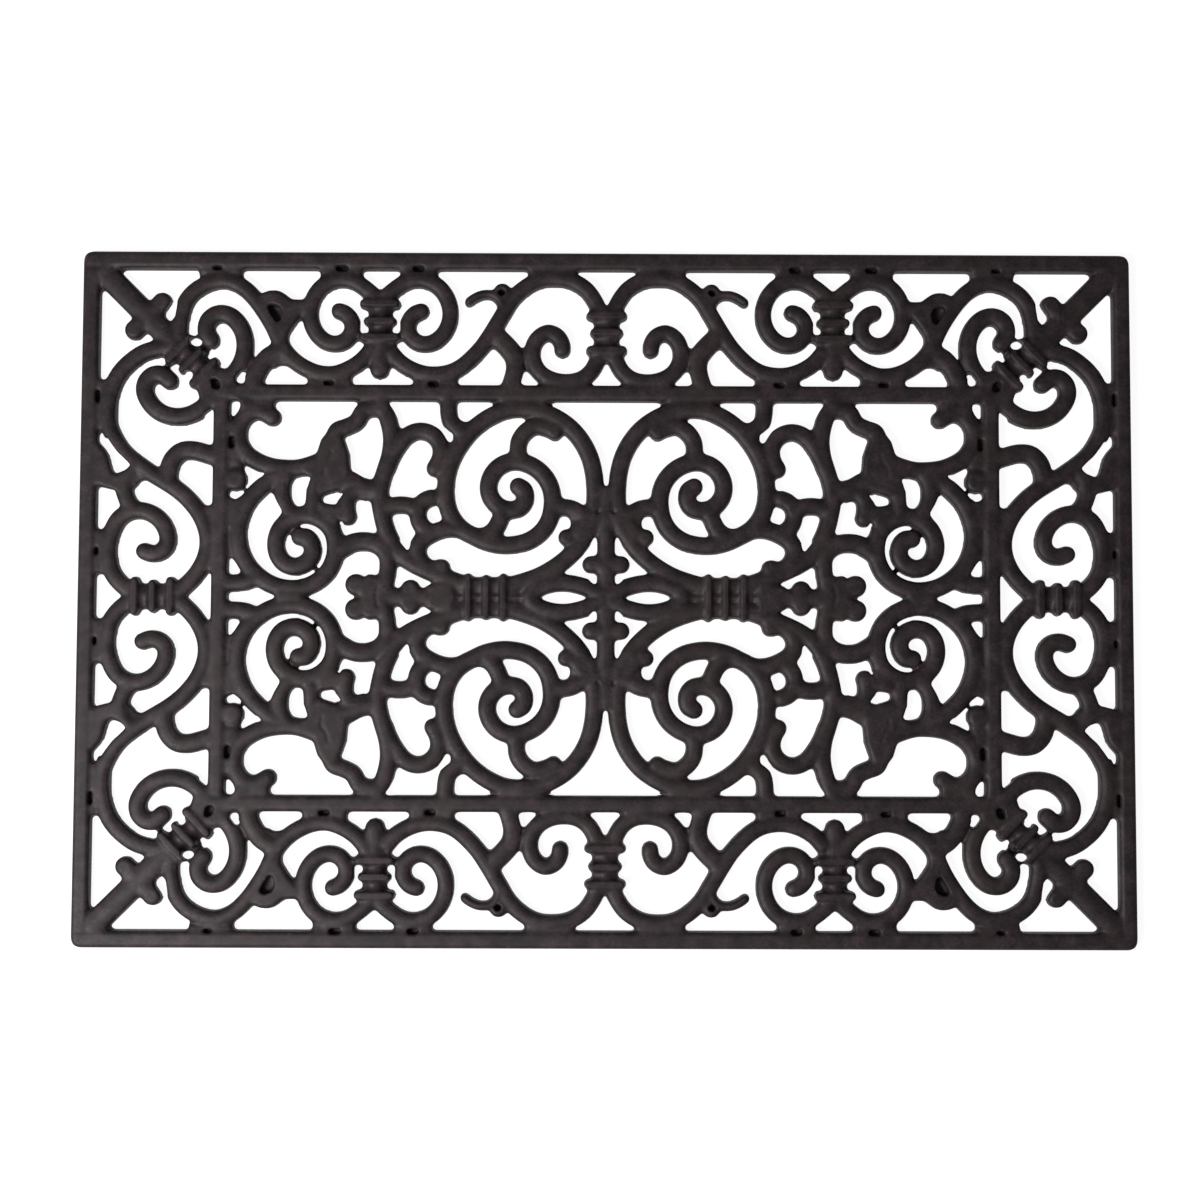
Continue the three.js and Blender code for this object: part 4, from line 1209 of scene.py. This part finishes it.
def gathered(solids: Iterable[bmesh.types.BMesh], name: str) -> bpy.types.Mesh:
    """Stands solids together in one mesh, each still a body of its own.

    Args:
        solids: the solids, which are freed.
        name: the mesh's name.

    Returns:
        The new mesh.
    """
    everything = bmesh.new()
    for solid in solids:
        single = to_mesh(solid, "solid")
        everything.from_mesh(single)
        bpy.data.meshes.remove(single)
    return to_mesh(everything, name)


def rounded(shapes: Iterable[Shape]) -> Iterable[bmesh.types.BMesh]:
    """The solids that stack up into each shape with its rounded top."""
    return (shape.raised(grow, None, top) for shape in shapes for grow, top in shape.layers())


def worked(mesh: bpy.types.Mesh, steps: Sequence[tuple[str, dict[str, object]]]) -> bpy.types.Mesh:
    """Runs modifiers over a mesh.

    Args:
        mesh: the mesh to work on, which is left as it is.
        steps: pairs of a modifier type and its settings, in order.

    Returns:
        The result as a new mesh.
    """
    bench = bpy.data.objects.new("bench", mesh)
    bpy.context.scene.collection.objects.link(bench)
    for kind, settings in steps:
        modifier = bench.modifiers.new(kind.title(), kind)
        for setting, value in settings.items():
            setattr(modifier, setting, value)
    graph = bpy.context.evaluated_depsgraph_get()
    made = bpy.data.meshes.new_from_object(bench.evaluated_get(graph))
    bpy.data.objects.remove(bench)
    return made


class Cut(Enum):
    """What a cut keeps."""

    INSIDE = "INTERSECT"
    OUTSIDE = "DIFFERENCE"


def cut(mesh: bpy.types.Mesh, tool: bpy.types.Mesh, keep: Cut) -> bpy.types.Mesh:
    """Cuts one closed mesh with another.

    Args:
        mesh: the mesh to cut.
        tool: the mesh that cuts it.
        keep: which side of the tool's surface is kept.

    Returns:
        The result as a new closed mesh.
    """
    other = bpy.data.objects.new("tool", tool)
    bpy.context.scene.collection.objects.link(other)
    made = worked(mesh, [("BOOLEAN", {"operation": keep.value, "object": other, "solver": "MANIFOLD"})])
    bpy.data.objects.remove(other)
    return made


def fused(mesh: bpy.types.Mesh, grain: float) -> bpy.types.Mesh:
    """Melts overlapping solids into one skin.

    Args:
        mesh: closed solids that may overlap.
        grain: size of the new faces.

    Returns:
        One closed skin of even small faces.
    """
    return worked(mesh, [("REMESH", {"mode": "VOXEL", "voxel_size": grain, "adaptivity": 0})])


class Moulding:
    """The quarter of the mat as one body of rubber, and the pieces it is parted into."""

    def __init__(self, pieces: Sequence[Piece], recesses: Recesses, mould: Mould) -> None:
        """Keeps the pieces, in the order in which they claim their share, and how to mould them.

        Args:
            pieces: every piece of the mat that reaches into the back right quarter.
            recesses: what is cut out of it.
            mould: how finely the rubber is moulded.
        """
        self.pieces = pieces
        self.recesses = recesses
        self.mould = mould
        self.grain = mould.grain

    def body(self) -> bpy.types.Mesh:
        """Moulds the whole quarter.

        Returns:
            One closed mesh that reaches a little past both middle lines.
        """
        low = -self.mould.overlap
        drawn = [
            copy
            for piece in self.pieces
            for shape in piece.shapes()
            for copy in {shape.flipped(flip) for flip in ((1, 1), (-1, 1), (1, -1), (-1, -1))}
            if copy.reaches(low)
        ]
        solid = fused(gathered(rounded(drawn), "quarter"), self.grain)
        sunk = fused(gathered(rounded(self.recesses.shapes()), "recesses"), self.grain)
        dented = fused(cut(solid, sunk, Cut.OUTSIDE), self.grain)
        softened = {"factor": self.mould.softening_factor, "iterations": self.mould.softening}
        return worked(dented, [("SMOOTH", softened)])

    def share(self, piece: Piece) -> bpy.types.Mesh:
        """The room that a piece claims of the body.

        Args:
            piece: the piece that claims it.

        Returns:
            A closed mesh taller than the mat.
        """
        low, high = self.mould.share_low, self.mould.share_high
        room = (shape.raised(piece.claim, low, high) for shape in piece.shapes())
        whole = fused(gathered(room, piece.name), self.mould.share_grain)
        if not any(piece.stops_short):
            return whole
        far = PAPER.length
        low_x, low_y = (0 if stops else -far for stops in piece.stops_short)
        side = Plate(((low_x, low_y), (far, low_y), (far, far), (low_x, far)), floor=-far, height=far)
        return cut(whole, to_mesh(side.raised(), "side"), Cut.INSIDE)

    def parted(self) -> Iterable[tuple[Piece, bpy.types.Mesh]]:
        """Parts the body into its pieces.

        Yields:
            Each piece with its mesh, still reaching past the middle lines.
        """
        rest = self.body()
        log.info("moulded the quarter: %d faces", len(rest.polygons))
        for piece in self.pieces:
            room = self.share(piece)
            yield piece, cut(rest, room, Cut.INSIDE)
            rest = cut(rest, room, Cut.OUTSIDE)
        log.info("left over: %d faces", len(rest.polygons))


def completed(mesh: bpy.types.Mesh, copies: Copies) -> bpy.types.Mesh:
    """Mirrors a piece that runs over a middle line, so that it is whole.

    Args:
        mesh: the piece in the back right quarter, reaching past the middle line.
        copies: the copies there are of it.

    Returns:
        The whole piece.
    """
    bm = bmesh.new()
    bm.from_mesh(mesh)
    spanning = ((Copies.ONE, Copies.BACK_AND_FRONT), (Copies.ONE, Copies.RIGHT_AND_LEFT))
    for along, axis in enumerate("XY"):
        if copies not in spanning[along]:
            continue
        bmesh.ops.bisect_plane(
            bm, geom=[*bm.verts, *bm.edges, *bm.faces], dist=MOULD.seam,
            plane_no=(1 - along, along, 0), clear_inner=True,
        )
        for vert in bm.verts:
            if abs(vert.co[along]) < MOULD.seam:
                vert.co[along] = 0
        everything = [*bm.verts, *bm.edges, *bm.faces]
        bmesh.ops.mirror(bm, geom=everything, merge_dist=MOULD.seam_weld, axis=axis)
    return to_mesh(bm, mesh.name)


def finished(mesh: bpy.types.Mesh, name: str, flip: Flip) -> bpy.types.Mesh:
    """Makes one copy of a piece ready to show.

    Args:
        mesh: the whole piece at the back or right.
        name: the copy's name.
        flip: which axes it is mirrored across.

    Returns:
        A new mesh with smooth shading and its creases marked.
    """
    bm = bmesh.new()
    bm.from_mesh(mesh)
    bmesh.ops.remove_doubles(bm, verts=bm.verts, dist=MOULD.weld)
    low = Vector((-PAPER.length / 2, -PAPER.width / 2, 0))
    high = Vector((PAPER.length / 2, PAPER.width / 2, MOULD.thickness))
    for vert in bm.verts:
        vert.co = [max(least, min(place, most)) for least, place, most in zip(low, vert.co, high)]
    bmesh.ops.scale(bm, vec=(*flip, 1), verts=bm.verts)
    bmesh.ops.recalc_face_normals(bm, faces=bm.faces)
    open_edges = sum(not edge.is_manifold for edge in bm.edges)
    if open_edges:
        log.warning("%s has %d open edges", name, open_edges)
    made = to_mesh(bm, name)
    made.shade_smooth()
    made.set_sharp_from_angle(angle=math.radians(MOULD.crease_degrees))
    return made


# Finishes, light and camera

def linear(colour: str, alpha: float = 1) -> tuple[float, float, float, float]:
    """Turns an sRGB hex colour into linear values.

    Args:
        colour: six hex digits after a hash.
        alpha: the fourth value.

    Returns:
        Red, green, blue and alpha for a node's socket.
    """
    shares = (part / 255 for part in bytes.fromhex(colour[1:]))
    # The two stretches of the sRGB curve, straight near black and a power above.
    red, green, blue = (s / 12.92 if s <= 0.04045 else ((s + 0.055) / 1.055) ** 2.4 for s in shares)
    return (red, green, blue, alpha)


def add_node(
    tree: bpy.types.NodeTree, kind: str, inputs: dict[str | int, object] | None = None,
    **settings: object,
) -> bpy.types.Node:
    """Adds a node with its settings and links.

    Args:
        tree: the node tree.
        kind: the node's type.
        inputs: sockets by name or number, each with a value or the output to link to it.
        settings: the node's own properties.

    Returns:
        The new node.
    """
    node = tree.nodes.new(kind)
    for setting, value in settings.items():
        setattr(node, setting, value)
    for socket, value in (inputs or {}).items():
        if isinstance(value, bpy.types.NodeSocket):
            tree.links.new(value, node.inputs[socket])
        else:
            node.inputs[socket].default_value = value
    return node


@dataclass(frozen=True)
class MouldedRubber:
    """Moulded crumb rubber: near black, satin and mottled brown, with a painted reflection of the white
    floor along the foot of its walls.

    Each noise has the width of its lumps, how many finer layers it has and how strong those are. Each
    range takes a value between its first two numbers to one between its last two.
    """

    dark: str = "#181416"
    middle: str = "#292124"
    light: str = "#3D3135"
    olive: str = "#332D26"
    # Painted reflection: the white floor's glow on the foot of the walls, laid in as a brown colour.
    floor_reflection: str = "#6B5148"
    patches: Noise = (38 * MM, 2, 0.5)
    blotches: Noise = (9 * MM, 4, 0.6)
    specks: Noise = (1.6 * MM, 2, 0.5)
    grain: Noise = (0.55 * MM, 2, 0.5)
    grain_depth: float = 0.05 * MM
    grain_strength: float = 0.6
    speck_share: float = 0.35
    dark_below: float = 0.42
    middle_at: float = 0.66
    light_above: float = 0.9
    olive_range: Range = (0.52, 0.7, 0, 0.4)
    # The painted floor reflection is strongest at the floor and gone 2.2 mm up, and it lies only on
    # steep walls.
    reflection_range: Range = (0, 2.2 * MM, 0.75, 0)
    wall_range: Range = (0.3, 0.7, 1, 0)
    roughness_range: Range = (0.3, 0.7, 0.49, 0.63)
    ior: float = 1.5
    specular: float = 0.3

    def material(self) -> bpy.types.Material:
        """Builds the rubber's node tree.

        Returns:
            The material that every piece wears.
        """
        material = bpy.data.materials.new("moulded_rubber")
        material.use_nodes = True
        tree = material.node_tree
        tree.nodes.clear()
        where = add_node(tree, "ShaderNodeTexCoord").outputs["Object"]
        patches, blotches, specks, grain = (
            add_node(tree, "ShaderNodeTexNoise", {
                "Vector": where, "Scale": 1 / width, "Detail": layers, "Roughness": strength,
            }).outputs[0]
            for width, layers, strength in (self.patches, self.blotches, self.specks, self.grain)
        )
        mottle = add_node(tree, "ShaderNodeMath", {
            0: specks, 1: self.speck_share, 2: blotches,
        }, operation="MULTIPLY_ADD").outputs[0]
        ramp = add_node(tree, "ShaderNodeValToRGB", {"Fac": mottle})
        first, last = ramp.color_ramp.elements
        first.position, first.color = self.dark_below, linear(self.dark)
        last.position, last.color = self.light_above, linear(self.light)
        ramp.color_ramp.elements.new(self.middle_at).color = linear(self.middle)
        height = add_node(tree, "ShaderNodeSeparateXYZ", {"Vector": where}).outputs["Z"]
        facing = add_node(tree, "ShaderNodeNewGeometry").outputs["Normal"]
        upward = add_node(tree, "ShaderNodeSeparateXYZ", {"Vector": facing}).outputs["Z"]
        olive_share, low_down, steep, roughness = (
            add_node(tree, "ShaderNodeMapRange", {
                "Value": value, **dict(zip(RANGE_SOCKETS, span)),
            }).outputs[0]
            for value, span in (
                (patches, self.olive_range), (height, self.reflection_range),
                (upward, self.wall_range), (specks, self.roughness_range),
            )
        )
        # Share of the painted floor reflection: near the floor and on steep walls only.
        reflection_share = add_node(
            tree, "ShaderNodeMath", {0: low_down, 1: steep}, operation="MULTIPLY",
        ).outputs[0]
        colour = ramp.outputs["Color"]
        # Mixes in the olive stains, then the painted floor reflection.
        for share, stain_and_reflection in ((olive_share, self.olive), (reflection_share, self.floor_reflection)):
            colour = add_node(tree, "ShaderNodeMix", {
                MIX_SHARE: share, MIX_FIRST: colour, MIX_SECOND: linear(stain_and_reflection),
            }, data_type="RGBA").outputs[MIX_RESULT]
        bump = add_node(tree, "ShaderNodeBump", {
            "Height": grain, "Strength": self.grain_strength, "Distance": self.grain_depth,
        }).outputs[0]
        shader = add_node(tree, "ShaderNodeBsdfPrincipled", {
            "Base Color": colour, "Roughness": roughness, "Normal": bump,
            "IOR": self.ior, "Specular IOR Level": self.specular,
        })
        add_node(tree, "ShaderNodeOutputMaterial", {"Surface": shader.outputs[0]})
        return material


@dataclass(frozen=True)
class PaleFloor:
    """A plain white floor that takes a soft shadow."""

    size: float = 6
    drop: float = 0.05 * MM
    paint: str = "#808080"
    lift: float = 0.93

    def build(self) -> None:
        """Lays the floor just under the mat."""
        bm = bmesh.new()
        bmesh.ops.create_grid(bm, x_segments=1, y_segments=1, size=self.size)
        bmesh.ops.translate(bm, vec=(0, 0, -self.drop), verts=bm.verts)
        floor = bpy.data.objects.new("floor", to_mesh(bm, "floor"))
        floor.data.materials.append(self.material())
        bpy.context.scene.collection.objects.link(floor)

    def material(self) -> bpy.types.Material:
        """White paint that the camera and mirror rays see lifted to white.

        Returns:
            The floor's material.
        """
        material = bpy.data.materials.new("pale_floor")
        material.use_nodes = True
        tree = material.node_tree
        tree.nodes.clear()
        rays = add_node(tree, "ShaderNodeLightPath")
        seen = rays.outputs["Is Camera Ray"]
        for value, operation in (
            (rays.outputs["Is Glossy Ray"], "MAXIMUM"),
            (rays.outputs["Is Transmission Ray"], "MAXIMUM"),
            (self.lift, "MULTIPLY"),
        ):
            seen = add_node(tree, "ShaderNodeMath", {0: seen, 1: value}, operation=operation).outputs[0]
        glow = add_node(tree, "ShaderNodeEmission", {"Strength": seen}).outputs[0]
        paint = add_node(tree, "ShaderNodeBsdfDiffuse", {"Color": linear(self.paint)}).outputs[0]
        both = add_node(tree, "ShaderNodeAddShader", {0: glow, 1: paint}).outputs[0]
        add_node(tree, "ShaderNodeOutputMaterial", {"Surface": both})
        return material


@dataclass(frozen=True)
class Studio:
    """Soft light from above, and the camera where the photograph was taken."""

    lens: float = 60
    camera_place: tuple[float, float, float] = (-0.0083, -0.072, 1.1405)
    camera_degrees: tuple[float, float, float] = (3.56, -0.261, 0.193)
    world_strength: float = 0.14
    lamp_place: tuple[float, float, float] = (-0.75, -0.5, 1.0)
    lamp_size: float = 0.6
    lamp_watts: float = 19.5

    def build(self) -> None:
        """Sets the colour view, the world, the lamp and the camera."""
        scene = bpy.context.scene
        scene.view_settings.view_transform = "Standard"
        world = bpy.data.worlds.new("studio")
        world.use_nodes = True
        sky = world.node_tree.nodes["Background"]
        sky.inputs["Color"].default_value = (1, 1, 1, 1)
        sky.inputs["Strength"].default_value = self.world_strength
        scene.world = world
        lamp_data = bpy.data.lights.new("softbox", "AREA")
        lamp_data.size = self.lamp_size
        lamp_data.energy = self.lamp_watts
        lamp = bpy.data.objects.new("softbox", lamp_data)
        lamp.location = self.lamp_place
        lamp.rotation_euler = Vector(self.lamp_place).to_track_quat("Z", "Y").to_euler()
        camera_data = bpy.data.cameras.new("camera")
        camera_data.lens = self.lens
        camera = bpy.data.objects.new("camera", camera_data)
        camera.location = self.camera_place
        camera.rotation_euler = Euler([math.radians(angle) for angle in self.camera_degrees])
        for thing in (lamp, camera):
            scene.collection.objects.link(thing)
        scene.camera = camera


class RubberMat:
    """The whole mat: its pieces moulded, mirrored, dressed and put in place of the model's."""

    def __init__(self) -> None:
        """Lists the pieces in the order in which they claim their share of the rubber."""
        self.pieces: list[Piece] = [
            OuterLongRail(), OuterShortRail(), InnerLongRail(), InnerShortRail(),
            CENTRE_COLLAR, BorderCollar(), SIDE_COLLAR, CORNER_COLLAR, Sleeve(), Spear(),
            CentreArch(), CentreHooks(), Heart(), CornerHooks(), LongScroll(), SideScroll(),
            OuterScrolls(), Cross(), LeafStem(), Wheel(),
        ]
        self.rubber = MouldedRubber().material()

    def build(self) -> None:
        """Moulds the quarter and places every piece of the mat."""
        for piece, mesh in Moulding(self.pieces, Recesses(), MOULD).parted():
            whole = completed(mesh, piece.copies)
            for suffix, flip in piece.copies.value:
                self.place(piece.name + suffix, whole, flip)

    def place(self, node: str, mesh: bpy.types.Mesh, flip: Flip) -> None:
        """Puts one copy of a piece in place of the model's.

        Args:
            node: the model's node that it stands for.
            mesh: the whole piece.
            flip: which axes the copy is mirrored across.
        """
        name = "rubber_" + node
        made = bpy.data.objects.new(name, finished(mesh, name, flip))
        made.data.materials.append(self.rubber)
        bpy.context.scene.collection.objects.link(made)
        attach(made, "root")
        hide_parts(node)
        log.info("%s: %d faces", name, len(made.data.polygons))


def main() -> None:
    """Builds the studio and the mat."""
    logging.basicConfig(level=logging.INFO, format="%(message)s")
    Studio().build()
    PaleFloor().build()
    RubberMat().build()


if __name__ == "__main__":
    main()
